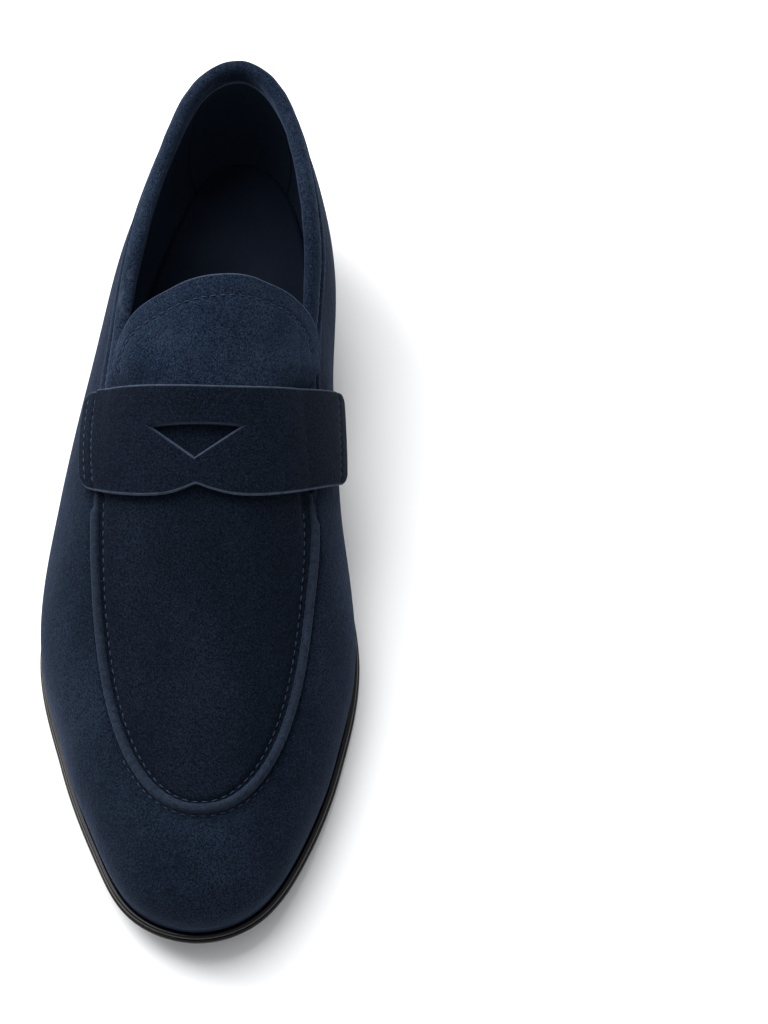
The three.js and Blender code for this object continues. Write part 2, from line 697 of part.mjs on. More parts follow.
function nail([x, s]) {
  const under = seat(s) + OUTSOLE_TOP;
  const shaft = toManifold(pin(NAIL_RADIUS, x, s, NAIL_TIP, under + GAP + 0.2));
  const head = toManifold(pin(NAIL_HEAD_RADIUS, x, s, under + GAP, under + GAP + NAIL_HEAD, 12));
  const mesh = shaft.add(head).getMesh();
  return new THREE.BufferGeometry()
    .setAttribute("position", new THREE.BufferAttribute(mesh.vertProperties, 3))
    .setIndex(new THREE.BufferAttribute(mesh.triVerts, 1));
}

function shank() {
  const half = SHANK.width / 2;
  const top = MARGIN_TOP - 0.1;
  const rings = spread(SHANK.from, SHANK.to, 8).map((s) => {
    const at = (x, z) => new THREE.Vector3(x, s - LAST_LENGTH / 2, seat(s) + z);
    const low = top - SHANK.thickness;
    return [at(-half, low), at(half, low), at(half, top), at(-half, top)];
  });
  return loft(rings);
}

const inner = -MARGIN_WIDTH - GAP * 2;
const straight = (off, bottom, top) => [[off, bottom], [off, top]];

// ---------- the assembly ----------
const LOOKS = {
  suede: { color: 0x1f2b3d, roughness: 0.95, metalness: 0 },
  lining: { color: 0x1b2434, roughness: 0.7, metalness: 0 },
  sock: { color: 0x1d2536, roughness: 0.5, metalness: 0 },
  stiffener: { color: 0xc8bda6, roughness: 0.9, metalness: 0 },
  board: { color: 0xb79b72, roughness: 0.9, metalness: 0 },
  foam: { color: 0xd9d4c4, roughness: 1, metalness: 0 },
  cork: { color: 0xa77b4d, roughness: 1, metalness: 0 },
  rand: { color: 0x0b0b0d, roughness: 0.35, metalness: 0 },
  sole: { color: 0x17171a, roughness: 0.4, metalness: 0 },
  rubber: { color: 0x121214, roughness: 0.8, metalness: 0 },
  steel: { color: 0x9a9da1, roughness: 0.4, metalness: 1 },
};

const shoe = new THREE.Group();
shoe.name = "penny_loafer_right";

function addPiece(name, look, geometry) {
  const mesh = new THREE.Mesh(geometry, new THREE.MeshStandardMaterial(LOOKS[look]));
  mesh.name = name;
  shoe.add(mesh);
}

addPiece("upper_wall", "suede", upperWall());
addPiece("apron", "suede", apron());
addPiece("apron_piping", "suede", piping());
addPiece("strap_lining", "lining", strapLayer(STRAP_LINING_IN, STRAP_LINING_IN + STRAP_LINING, 0.6));
addPiece("saddle_strap", "suede", strapLayer(STRAP_IN, STRAP_OUT, 0));
addPiece("tongue_lining", "lining", tongueLayer(STIFFENER_IN, STIFFENER_IN + TONGUE_LINING, 0.8));
addPiece("tongue", "suede", tongueLayer(TONGUE_IN, TONGUE_IN + TONGUE, 0));
addPiece("collar_binding", "suede", collarBinding());
addPiece("collar_foam", "foam", collarFoam());
addPiece("back_strip", "suede", backStrip());
addPiece("toe_puff", "stiffener", toePuff());
addPiece("heel_counter", "stiffener", heelCounter());
addPiece("vamp_lining", "lining", vampLining());
addPiece("quarter_lining_lateral", "lining", quarterLining(-1));
addPiece("quarter_lining_medial", "lining", quarterLining(1));
addPiece("heel_grip", "lining", heelGrip());
addPiece("sock_liner", "sock", plate(0, RING_STEPS, straight(-0.7, GAP * 2 + FOAM, GAP * 2 + FOAM + SOCK)));
addPiece("footbed_foam", "foam", plate(0, RING_STEPS, straight(-1, GAP, GAP + FOAM)));
addPiece("insole_board", "board", plate(0, RING_STEPS, straight(-0.5, BOARD_BOTTOM, BOARD_TOP)));
addPiece("cork_filler", "cork", plate(...CORK, straight(inner, MARGIN_BOTTOM, MARGIN_TOP)));
addPiece("shank", "steel", shank());
addPiece("sole_rand", "rand", soleRand());
addPiece("outsole", "sole", outsole());
for (let k = 0; k < LIFTS; k++) addPiece(`heel_lift_${k + 1}`, "sole", heelLift(k));
addPiece("top_piece", "rubber", topPiece());
NAILS.forEach((at, k) => addPiece(`heel_nail_${k + 1}`, "steel", nail(at)));

// The origin is on the ground under the middle of the shoe's outline.
const outline = new THREE.Box3().setFromObject(shoe);
shoe.position.set(-(outline.min.x + outline.max.x) / 2, -(outline.min.y + outline.max.y) / 2, 0);

export default shoe;
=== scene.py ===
from math import cos, pi, radians, sin

import bmesh
import bpy
import numpy as np
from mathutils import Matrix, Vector


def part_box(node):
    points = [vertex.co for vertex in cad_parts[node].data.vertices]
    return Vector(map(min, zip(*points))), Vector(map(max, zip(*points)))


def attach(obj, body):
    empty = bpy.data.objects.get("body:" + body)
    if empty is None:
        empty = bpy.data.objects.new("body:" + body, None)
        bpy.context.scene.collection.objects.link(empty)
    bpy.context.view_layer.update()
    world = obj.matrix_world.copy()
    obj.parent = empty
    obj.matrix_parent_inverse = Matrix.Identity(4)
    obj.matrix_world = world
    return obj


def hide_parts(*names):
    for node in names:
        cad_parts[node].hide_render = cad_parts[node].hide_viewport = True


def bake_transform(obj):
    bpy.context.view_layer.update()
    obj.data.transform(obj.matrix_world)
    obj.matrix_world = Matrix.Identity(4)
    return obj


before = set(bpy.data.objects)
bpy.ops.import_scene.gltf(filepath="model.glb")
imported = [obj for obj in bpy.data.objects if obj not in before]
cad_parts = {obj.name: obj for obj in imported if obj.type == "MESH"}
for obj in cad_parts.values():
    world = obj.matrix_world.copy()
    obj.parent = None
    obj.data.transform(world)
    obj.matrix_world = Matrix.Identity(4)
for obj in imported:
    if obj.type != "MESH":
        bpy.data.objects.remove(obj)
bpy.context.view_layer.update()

MM = 0.001

# ---------- the last ----------
LAST_LENGTH = 286.5
BALL_WIDTH = 95.2
INSTEP_HEIGHT = 81.5
LATERAL = [0, 0.183, 0.31, 0.446, 0.557, 0.513, 0.4, 0.313, 0.221, 0.13, 0]
MEDIAL = [0, 0.172, 0.294, 0.393, 0.443, 0.358, 0.279, 0.269, 0.216, 0.12, 0]
CREST = [0, 0.184, 0.294, 0.405, 0.552, 0.761, 0.939, 0.994, 1]
CREST_END = 0.8
HEEL_CURVE = 2.5
SQUARENESS = [2.1, 2.1, 2.2, 2.3, 2.35, 2.3, 2.2, 2.2, 2.2, 2.2, 2.2]
SWELL_LATERAL = [1.2, 1.3, 1.6, 2, 2.5, 3.5, 6, 6.5, 5, 4, 3]
SWELL_MEDIAL = [1.2, 1.3, 1.6, 2, 2, 4, 7, 7, 5, 4, 3]
SWELL_SHARE = 0.78
SWELL_LEAST = 20
BOTTOM_THICKNESS = 7
TOE_SPRING = 9
HEEL_RISE = 20
BALL_PLACE = 0.345 * LAST_LENGTH
RISE_START = 0.366 * LAST_LENGTH
RISE_END = 0.96 * LAST_LENGTH

# ---------- layers, outwards from the last ----------
GAP = 0.3
LINING = 0.9
SUEDE_IN = 2.4
SUEDE_OUT = 3.8
STRAP_LINING_IN = SUEDE_OUT + 1
STRAP_LINING = 0.9
STRAP_IN = STRAP_LINING_IN + STRAP_LINING + 0.1
STRAP_OUT = STRAP_IN + 1.8
TONGUE_LINING_IN = 1.2
TONGUE_LINING = 1.2
TONGUE_IN = 2.6
TONGUE_OUT = 4.1
RAW_EDGE = 0.32  # rounding of a cut edge

# ---------- edges on the upper ----------
TOPLINE = [51, 52, 54, 56.2, 57.6, 58.6, 58.8]
TOPLINE_START = 0.4
TOPLINE_TILT = 3
COLLAR_HEIGHT = 8
COLLAR_THIN = 1.1
COLLAR_FROM = {-1: 163, 1: 167}
APRON_TIP = 29
APRON_BACK = 157
SEAM = {-1: (36.3, 130, 2.05, 0), 1: (30, 112, 2.25, 0.36)}  # half width, straight from, power, taper
APRON_TAPER_LENGTH = 50
WALL_TURN = (0.31, 0.41)
PIPING_RADIUS = 1.5
PIPING_END = 136  # close to the strap's front edge
STRAP_FRONT = 127.2
STRAP_BACK = 159.5
STRAP_END = {-1: 42, 1: 26}
STRAP_SWEEP = {-1: 9, 1: 21}
SCALLOP_DEPTH = 3.6
SCALLOP_AT = -0.08
STRAP_CORNER = 4
SLOT_X = -5.5
SLOT_S = 143
SLOT_HALF_WIDTH = 13.8
SLOT_LENGTH = 10.5
SLOT_BEVEL = 0.9
TONGUE_TIP = 192.9
TONGUE_TILT = 4.2
TONGUE_EDGE = {-1: 55, 1: 47.8}
TONGUE_TUCK = 4  # how far the tongue reaches in under the strap
TONGUE_LIFT = 4
TONGUE_LIFT_FROM = 0.4
TONGUE_ROUNDNESS = {-1: 3.1, 1: 5.5}
TONGUE_SHARE = 0.7  # of the strap's half width, which the tongue's own half width comes to

# ---------- bottom ----------
MARGIN_WIDTH = 9
MARGIN_TOP = -2.6
MARGIN_BOTTOM = -4.0
OUTSOLE_TOP = -4.3
SOLE_EDGE = 2.5
HEEL_INSET = 1.4
TOP_PIECE = 5.5
LIFTS = 3
HEEL_BREAST = 20 / 30
VAMP_EDGE = 9 / 30
GRIP_EDGE = 26 / 30
BACK_STRIP_EDGE = 29 / 30
LINING_BACK = 150
SOCK_BOTTOM = 2.6
SOCK_TOP = 3.8

# ---------- stitches ----------
THREAD = 0.26  # radius
PITCH = 3.1
STITCH = 2.1

# ---------- the last's surface ----------


def curve(table, x):
    """A Catmull-Rom curve through a table at equal steps."""
    t = np.asarray(table, float)
    last = len(t) - 1
    x = np.clip(x, 0, last)
    i = np.minimum(np.floor(x).astype(int), last - 1)
    f = x - i
    t = np.concatenate([[2 * t[0] - t[1]], t, [2 * t[-1] - t[-2]]])
    a, b, c, d = t[i], t[i + 1], t[i + 2], t[i + 3]
    return b + 0.5 * f * (c - a + f * (2 * a - 5 * b + 4 * c - d + f * (3 * (b - c) + d - a)))


def smooth(t):
    t = np.clip(t, 0, 1)
    return t * t * (3 - 2 * t)


def length_at(p):
    return LAST_LENGTH * (1 - np.cos(pi * p)) / 2


def station_at(s):
    return np.arccos(np.clip(1 - 2 * s / LAST_LENGTH, -1, 1)) / pi


def half_width(side, p):
    return BALL_WIDTH * np.where(side < 0, curve(LATERAL, p * 10), curve(MEDIAL, p * 10))


def squareness(p):
    return curve(SQUARENESS, p * 10)


def crest(p):
    t = np.clip((p - CREST_END) / (1 - CREST_END), 0, 1)
    heel = np.maximum(0, 1 - t**HEEL_CURVE) ** (1 / HEEL_CURVE)
    return INSTEP_HEIGHT * np.where(p <= CREST_END, curve(CREST, np.minimum(p, CREST_END) * 10), heel)


def seat(s):
    toe = TOE_SPRING * np.maximum(0, 1 - s / BALL_PLACE) ** 2.1
    return BOTTOM_THICKNESS + toe + HEEL_RISE * smooth((s - RISE_START) / (RISE_END - RISE_START))


STATIONS = np.linspace(0, 1, 20001)
HEIGHTS = crest(STATIONS)
SUMMIT = int(np.argmax(HEIGHTS))


def crest_lengths(z):
    """Where the crest rises through height z, and where it falls through it."""
    front = np.interp(z, HEIGHTS[: SUMMIT + 1], STATIONS[: SUMMIT + 1])
    back = np.interp(z, HEIGHTS[SUMMIT:][::-1], STATIONS[SUMMIT:][::-1])
    return length_at(front), length_at(back)


def skin(x, side, p, z, off):
    """The point `off` outside the last over its surface point at half section x, station p, height z."""
    w = np.maximum(half_width(side, p), 0.05)
    h = np.maximum(crest(p), 0.05)
    n = squareness(p)
    lo = np.clip(p - 0.002, 0.001, 0.999)
    hi = np.clip(p + 0.002, 0.001, 0.999)
    width_slope = (half_width(side, hi) - half_width(side, lo)) / (hi - lo)
    crest_slope = (crest(hi) - crest(lo)) / (hi - lo)
    share = np.clip(z / h, 0, 1)
    up = share**n
    out = 1 - up
    per_station = LAST_LENGTH * pi / 2 * np.maximum(np.sin(pi * p), 0.012)
    nx = np.sign(x) * out ** ((n - 1) / n) / w
    ns = -(out * width_slope / w + up * crest_slope / h) / per_station
    nz = share ** (n - 1) / h
    length = np.sqrt(nx * nx + ns * ns + nz * nz) + 1e-12
    swell = np.where(side < 0, curve(SWELL_LATERAL, p * 10), curve(SWELL_MEDIAL, p * 10))
    full = SWELL_SHARE * np.where(p < CREST_END, np.maximum(h, SWELL_LEAST), INSTEP_HEIGHT)
    d = swell * np.sin(pi * np.clip(z / full, 0, 1) ** 0.8) + off
    s = length_at(p) + ns / length * d
    return np.stack([x + nx / length * d, s - LAST_LENGTH / 2, seat(s) + z + nz / length * d], -1)


def ring_base(u, z):
    """The ring chart: u is 0 at the toe, -1 or 1 at the heel and negative on the lateral side; z is the
    height over the feather line."""
    s0, s1 = crest_lengths(z)
    q = np.abs(u)
    s = np.where(z <= 0, length_at(q), s0 + (s1 - s0) * (1 - np.cos(pi * q)) / 2)
    p = station_at(s)
    n = squareness(p)
    f = np.maximum(0, 1 - np.clip(z / np.maximum(crest(p), 1e-3), 0, 1) ** n) ** (1 / n)
    f = np.where((q < 1e-9) | (q > 1 - 1e-9), 0, f)
    return np.sign(u) * half_width(u, p) * f, p, s


def ring_point(u, z, off):
    u, z, off = np.broadcast_arrays(*(np.asarray(v, float) for v in (u, z, off)))
    x, p, _ = ring_base(u, np.maximum(z, 0))
    point = skin(x, u, p, np.maximum(z, 0), off)
    point[..., 2] += np.minimum(z, 0)
    return point


def arch_point(s, angle, off):
    """The section chart: s along the last and an angle round its section, 0 on the crest."""
    s, angle, off = np.broadcast_arrays(*(np.asarray(v, float) for v in (s, angle, off)))
    p = station_at(s)
    n = squareness(p)
    x = np.sign(angle) * half_width(angle, p) * np.abs(np.sin(angle)) ** (2 / n)
    return skin(x, angle, p, crest(p) * np.maximum(0, np.cos(angle)) ** (2 / n), off)


def angle_at(s, z):
    p = station_at(s)
    return np.arccos(np.clip(z / crest(p), 0, 1) ** (squareness(p) / 2))


def plan_point(x, s, off):
    """The surface over the plan point x, s."""
    x, s, off = np.broadcast_arrays(*(np.asarray(v, float) for v in (x, s, off)))
    p = station_at(s)
    n = squareness(p)
    share = np.clip(np.abs(x) / half_width(x, p), 0, 1)
    return skin(x, x, p, crest(p) * np.maximum(0, 1 - share**n) ** (1 / n), off)


# The frame's origin is under the middle of the shoe's outline, so the last's own frame is shifted.
OUTLINE = ring_point(np.linspace(-1, 1, 721), -BOTTOM_THICKNESS / 2, SUEDE_OUT + SOLE_EDGE)
SOLE_LOW, SOLE_HIGH = (np.array(corner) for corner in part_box("outsole"))
SHIFT = (SOLE_LOW + SOLE_HIGH) / 2 / MM - (OUTLINE.min(0) + OUTLINE.max(0)) / 2
SHIFT[2] = 0

# ---------- edges of the upper ----------


def topline(u):
    back = (np.abs(u) - TOPLINE_START) / (1 - TOPLINE_START)
    level = curve(TOPLINE, back * (len(TOPLINE) - 1))
    return level - np.sign(u) * TOPLINE_TILT * (1 - smooth(back))


def collar_foot(u):
    return topline(np.sign(u) * np.maximum(np.abs(u), TOPLINE_START)) - COLLAR_HEIGHT


def seam_point(t):
    """The apron seam in plan: t is 0 at the tip and -1, 1 where its sides run straight."""
    t = np.asarray(t, float)
    pick = [np.where(t < 0, SEAM[-1][k], SEAM[1][k]) for k in range(4)]
    width, straight, power, taper = pick
    angle = np.minimum(np.abs(t), 1) * pi / 2
    beyond = np.maximum(0, np.abs(t) - 1) * 100
    x = width * (np.sin(angle) ** (2 / power) - taper * (beyond / APRON_TAPER_LENGTH) ** 2)
    s = straight - (straight - APRON_TIP) * np.maximum(np.cos(angle), 0) ** (2 / power) + beyond
    return np.stack([np.sign(t) * x, s], -1)


def seam_end(side, s):
    """The size of the seam place t on one side that lies at length s, where that side runs straight."""
    return 1 + (s - SEAM[side][1]) / 100


def seam_offset(t, d):
    """The seam point t moved out of the apron by d."""
    tangent = seam_point(t + 1e-3) - seam_point(t - 1e-3)
    tangent /= np.linalg.norm(tangent, axis=-1, keepdims=True)
    return seam_point(t) + np.stack([tangent[..., 1], -tangent[..., 0]], -1) * np.asarray(d)[..., None]


SEAM_LINE = seam_point(np.linspace(-1.5, 1.5, 301))


def outside_seam(x, s):
    """Distance from the seam in plan, positive outside the apron."""
    point = np.stack([x, s], -1)[..., None, :]
    start = SEAM_LINE[:-1]
    along = SEAM_LINE[1:] - start
    to = point - start
    t = np.clip((to * along).sum(-1) / (along**2).sum(-1), 0, 1)
    away = to - along * t[..., None]
    distance = np.linalg.norm(away, axis=-1)
    nearest = distance.argmin(-1)[..., None]
    cross = along[:, 0] * away[..., 1] - along[:, 1] * away[..., 0]
    outside = np.take_along_axis(cross, nearest, -1) < 0
    found = np.take_along_axis(distance, nearest, -1)
    return np.where(outside, found, -found)[..., 0]


def highest(holds, lo, hi):
    """The greatest height from lo to hi at which `holds` is true, found by halving."""
    for _ in range(24):
        mid = (lo + hi) / 2
        true = holds(mid)
        lo, hi = np.where(true, mid, lo), np.where(true, hi, mid)
    return lo


def seam_height(u, clear):
    """The height at which the ring place u comes within `clear` of the apron seam."""

    def is_clear(z):
        x, _, s = ring_base(u, z)
        return outside_seam(x, s) > clear

    return highest(is_clear, np.zeros_like(u), collar_foot(u))


def seam_share(u):
    """1 where the wall ends at the apron seam, 0 where it ends at the collar."""
    return 1 - smooth((np.abs(u) - WALL_TURN[0]) / (WALL_TURN[1] - WALL_TURN[0]))


def wall_top(u, clear):
    share = seam_share(u)
    return share * seam_height(u, clear) + (1 - share) * (collar_foot(u) + 0.1)


def strap_edges(g):
    """Lengths of the strap's front and back edges. g is -1 at its lateral end and 1 at its medial end."""
    sweep = np.where(g < 0, STRAP_SWEEP[-1], STRAP_SWEEP[1])
    front = STRAP_FRONT + sweep * np.where(g < 0, -(g**3), g * g)
    scallop = SCALLOP_DEPTH * np.exp(-((np.abs(g - SCALLOP_AT) / 0.13) ** 1.3))
    return front + scallop, STRAP_BACK + sweep * g * g


def side_angle(s, g, ends):
    return g * angle_at(s, np.where(g < 0, ends[-1], ends[1]))


# ---------- meshes ----------


RIPPLE_SIZE = 21.0


def ripple(points, amount):
    """A smooth uneven height over points, from waves that don't repeat within the shoe."""
    x, y, z = (points[..., k] / RIPPLE_SIZE for k in range(3))
    waves = np.sin(2.1 * x + 1.3 * y + 0.4) * np.cos(1.7 * z - 0.6 * x)
    waves = waves + 0.6 * np.sin(3.7 * y - 2.9 * z + 1.1) + 0.4 * np.sin(6.1 * x + 5.3 * z - 4.4 * y)
    return amount * waves / 2


def add_mesh(name, points, faces, material, rim=None, sharp=None):
    """A mesh object from points in millimetres in the last's frame, its faces turned outwards. `rim` is 1
    at a point on a cut edge; the piping and the collar's edges also use it for painted highlight."""
    mesh = bpy.data.meshes.new(name)
    mesh.from_pydata(((points + SHIFT) * MM).tolist(), [], faces)
    if rim is not None:
        layer = mesh.attributes.new("rim", "FLOAT", "POINT")
        layer.data.foreach_set("value", np.asarray(rim, np.float32).ravel())
    bm = bmesh.new()
    bm.from_mesh(mesh)
    bmesh.ops.remove_doubles(bm, verts=bm.verts, dist=2e-6)
    bmesh.ops.dissolve_degenerate(bm, edges=bm.edges, dist=1e-7)
    bmesh.ops.recalc_face_normals(bm, faces=bm.faces)
    if bm.calc_volume(signed=True) < 0:
        bmesh.ops.reverse_faces(bm, faces=bm.faces)
    bm.to_mesh(mesh)
    bm.free()
    mesh.polygons.foreach_set("use_smooth", [True] * len(mesh.polygons))
    if sharp:
        mesh.set_sharp_from_angle(angle=radians(sharp))
    mesh.materials.append(material)
    piece = bpy.data.objects.new(name, mesh)
    bpy.context.scene.collection.objects.link(piece)
    return piece


def loop_faces(rows, count, closed):
    """Quads between loops of points; an open run of loops gets caps across from point j to count-1-j."""
    i = np.arange(rows if closed else rows - 1)[:, None]
    j = np.arange(count)[None, :]
    here, there = i * count, ((i + 1) % rows) * count
    k = (j + 1) % count
    faces = np.stack([here + j, here + k, there + k, there + j], -1).reshape(-1, 4)
    if not closed:
        j = np.arange(count // 2 - 1)
        cap = np.stack([count - 1 - j, count - 2 - j, j + 1, j], -1)
        faces = np.concatenate([faces, cap, (rows - 1) * count + cap[:, ::-1]])
    return faces.tolist()


def loop_piece(name, loops, material, closed, rim=None):
    rows, count = loops.shape[:2]
    return add_mesh(name, loops.reshape(-1, 3), loop_faces(rows, count, closed), material, rim)


def mix(a, b, t):
    return a + (b - a) * t


def step_in(a, b, distance):
    """a moved towards b by at most a third of the way."""
    way = b - a
    length = np.linalg.norm(way, axis=-1, keepdims=True)
    return a + way * np.minimum(distance / np.maximum(length, 1e-9), 0.34)


def sheet_piece(name, outer, inner, material):
    """A sheet between two grids of points, its cut edges rounded."""
    thickness = np.linalg.norm(outer - inner, axis=-1, keepdims=True)
    bite = np.minimum(RAW_EDGE / np.maximum(thickness, 1e-9), 0.4)
    high, low = mix(outer, inner, bite), mix(inner, outer, bite)
    top, bottom = outer.copy(), inner.copy()
    for end, beside in ((0, 1), (-1, -2)):
        top[:, end] = step_in(outer[:, end], outer[:, beside], RAW_EDGE)
        bottom[:, end] = step_in(inner[:, end], inner[:, beside], RAW_EDGE)
    loops = [top, high[:, -1:], low[:, -1:], bottom[:, ::-1], low[:, :1], high[:, :1]]
    loops = np.concatenate(loops, 1)
    n = outer.shape[1]
    rim = np.zeros(loops.shape[:2])
    rim[:, [0, n - 1, n, n + 1, n + 2, -3, -2, -1]] = 1
    ends = []
    for end, beside in ((0, 1), (-1, -2)):
        over, under = high[end], low[end]
        cap = np.concatenate([over, over[-1:], under[-1:], under[::-1], under[:1], over[:1]])
        ends.append([cap, step_in(loops[end], loops[beside], RAW_EDGE)])
    first, last = ends
    loops = np.concatenate([first, loops[1:-1], last[::-1]])
    cut_rim = np.ones((2, rim.shape[1]))
    rim = np.concatenate([cut_rim, rim[1:-1], cut_rim])
    return loop_piece(name, loops, material, False, rim)


def finish_piece(piece, nodes=(), body="shoe"):
    if body:
        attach(piece, body)
    if nodes:
        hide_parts(*nodes)
    return piece


def resample(path, normals, step):
    """Places at equal steps along a path: centres, directions and normals."""
    gaps = np.linalg.norm(np.diff(path, axis=0), axis=1)
    along = np.concatenate([[0], np.cumsum(gaps)])
    count = max(2, int(along[-1] / step))
    at = (np.arange(count) + 0.5) * along[-1] / count

    def pick(values, where):
        return np.stack([np.interp(where, along, values[:, k]) for k in range(3)], -1)

    direction = pick(path, at + 0.2) - pick(path, at - 0.2)
    direction /= np.linalg.norm(direction, axis=1, keepdims=True)
    up = pick(normals, at)
    up /= np.linalg.norm(up, axis=1, keepdims=True)
    return pick(path, at), direction, up


def stitch_row(name, surface, material, pitch=PITCH, length=STITCH, radius=THREAD):
    """Single stitches along a path. `surface` gives the path's points at an offset."""
    path = surface(0.0)
    centres, along, up = resample(path, surface(1.0) - path, pitch)
    across = np.cross(along, up)
    sides = 6
    ends = np.array([-1, -0.82, -0.35, 0.35, 0.82, 1]) * length / 2
    rise = np.array([-0.6, -0.2, 0.15, 0.15, -0.2, -0.6])
    fat = np.array([0.35, 0.9, 1.0, 1.0, 0.9, 0.35]) * radius
    turn = np.arange(sides) * 2 * pi / sides
    after = [(j + 1) % sides for j in range(sides)]
    points, faces = [], []
    for k, (c, t, n, b) in enumerate(zip(centres, along, up, across)):
        lean = (0.12 if k % 2 else -0.1) * radius / length
        for e, r, f in zip(ends, rise, fat):
            middle = c + t * e + n * r * radius * 1.6 + b * e * lean * 4
            points.extend(middle + f * (np.cos(a) * b + np.sin(a) * n) for a in turn)
        base = k * sides * len(ends)
        last_ring = base + sides * (len(ends) - 1)
        for low in range(base, last_ring, sides):
            high = low + sides
            faces.extend([low + j, low + a, high + a, high + j] for j, a in enumerate(after))
        faces.append([base + j for j in reversed(range(sides))])
        faces.append([last_ring + j for j in range(sides)])
    return add_mesh(name, np.array(points), faces, material)


# ---------- materials ----------


class Nodes:
    """A small wrapper that adds and links shader nodes."""

    def __init__(self, name):
        self.material = bpy.data.materials.new(name)
        self.material.use_nodes = True
        self.tree = self.material.node_tree
        self.shader = self.tree.nodes["Principled BSDF"]
        self.place = self.add("ShaderNodeTexCoord").outputs["Object"]

    def add(self, kind, **values):
        node = self.tree.nodes.new(kind)
        for key, value in values.items():
            setattr(node, key, value)
        return node

    def link(self, source, target):
        self.tree.links.new(source, target)

    def put(self, socket, value):
        if hasattr(value, "is_output"):
            self.link(value, socket)
        else:
            socket.default_value = value

    def noise(self, scale, detail=2.0, roughness=0.5, stretch=None):
        node = self.add("ShaderNodeTexNoise")
        node.inputs["Scale"].default_value = scale
        node.inputs["Detail"].default_value = detail
        node.inputs["Roughness"].default_value = roughness
        place = self.place
        if stretch:
            mapping = self.add("ShaderNodeMapping")
            mapping.inputs["Scale"].default_value = stretch
            self.link(place, mapping.inputs["Vector"])
            place = mapping.outputs["Vector"]
        self.link(place, node.inputs["Vector"])
        return node.outputs["Fac"]

    def cells(self, scale):
        node = self.add("ShaderNodeTexVoronoi")
        node.inputs["Scale"].default_value = scale
        self.link(self.place, node.inputs["Vector"])
        return node.outputs["Distance"]

    def ramp(self, value, low, high, to_low=0.0, to_high=1.0):
        node = self.add("ShaderNodeMapRange", interpolation_type="SMOOTHSTEP")
        for key, v in zip(("Value", "From Min", "From Max", "To Min", "To Max"),
                          (value, low, high, to_low, to_high)):
            self.put(node.inputs[key], v)
        return node.outputs["Result"]

    def math(self, operation, a, b):
        node = self.add("ShaderNodeMath", operation=operation)
        self.put(node.inputs[0], a)
        self.put(node.inputs[1], b)
        return node.outputs[0]

    def blend(self, share, a, b):
        node = self.add("ShaderNodeMix", data_type="RGBA")
        self.put(node.inputs["Factor"], share)
        for key, value in (("A", a), ("B", b)):
            socket = next(s for s in node.inputs if s.name == key and s.type == "RGBA")
            self.put(socket, (*value, 1) if isinstance(value, tuple) else value)
        return next(s for s in node.outputs if s.type == "RGBA")

    def attribute(self, name):
        return self.add("ShaderNodeAttribute", attribute_name=name).outputs["Fac"]

    def bump(self, height, distance, strength):
        node = self.add("ShaderNodeBump")
        node.inputs["Distance"].default_value = distance
        node.inputs["Strength"].default_value = strength
        self.link(height, node.inputs["Height"])
        return node.outputs["Normal"]

    def set(self, **values):
        for key, value in values.items():
            self.put(self.shader.inputs[key.replace("_", " ")], value)
        return self.material


NAVY = (0.0040, 0.0080, 0.0168)
NAVY_LIGHT = (0.0145, 0.0238, 0.0425)
NAVY_DARK = (0.0007, 0.0019, 0.0052)
# The pale colour of raw edges and scuffs, also used for painted highlight on the piping and the collar's
# edges.
CUT_EDGE_WEAR_AND_HIGHLIGHT = (0.0520, 0.0680, 0.1000)


def suede(name, level=1.0, sheen=0.16, patch=1.0, scuff=0.0):
    """Brushed suede at a level of lightness, which stands in for painted light and shade on each piece:
    stroked patches, mottled nap, short fibres, paler cut edges, and painted highlight where the rim attribute
    marks it.
    """
    n = Nodes(name)
    base, light, dark = (tuple(c * level for c in tone) for tone in (NAVY, NAVY_LIGHT, NAVY_DARK))
    strokes = n.ramp(n.noise(26, 3, 0.55, stretch=(1.4, 0.8, 1.2)), 0.36, 0.72)
    mottle = n.ramp(n.noise(230, 5, 0.7), 0.34, 0.68)
    fibres = n.noise(1800, 3, 0.75, stretch=(1.0, 0.7, 1.0))
    flecks = n.ramp(n.noise(2100, 2, 0.6), 0.52, 0.72)
    tone = n.math("ADD", n.math("MULTIPLY", strokes, 0.4 * patch), n.math("MULTIPLY", mottle, 0.3))
    colour = n.blend(tone, base, light)
    colour = n.blend(n.ramp(fibres, 0.38, 0.6, 0.9, 0.0), colour, dark)
    colour = n.blend(n.math("MULTIPLY", flecks, 0.5), colour, tuple(c * 1.7 for c in light))
    if scuff:
        worn = n.ramp(n.noise(95, 5, 0.7, stretch=(1.0, 1.0, 1.8)), 0.56, 0.74, 0.0, scuff)
        colour = n.blend(worn, colour, CUT_EDGE_WEAR_AND_HIGHLIGHT)
    # The rim attribute pales a point towards the pale edge colour: the real colour on cut edges, painted
    # highlight on the piping and the collar's edges.
    rim = n.math("MULTIPLY", n.attribute("rim"), n.ramp(n.noise(420, 3), 0.2, 0.6, 0.45, 0.95))
    colour = n.blend(rim, colour, CUT_EDGE_WEAR_AND_HIGHLIGHT)
    height = n.math("ADD", n.math("MULTIPLY", fibres, 0.8), n.math("MULTIPLY", mottle, 0.5))
    n.set(Base_Color=colour, Roughness=n.ramp(mottle, 0, 1, 0.88, 1.0), Normal=n.bump(height, 0.0003, 0.8))
    return n.set(Sheen_Weight=sheen, Sheen_Roughness=0.38, Sheen_Tint=(0.32, 0.46, 0.78, 1),
                 Specular_IOR_Level=0.05)


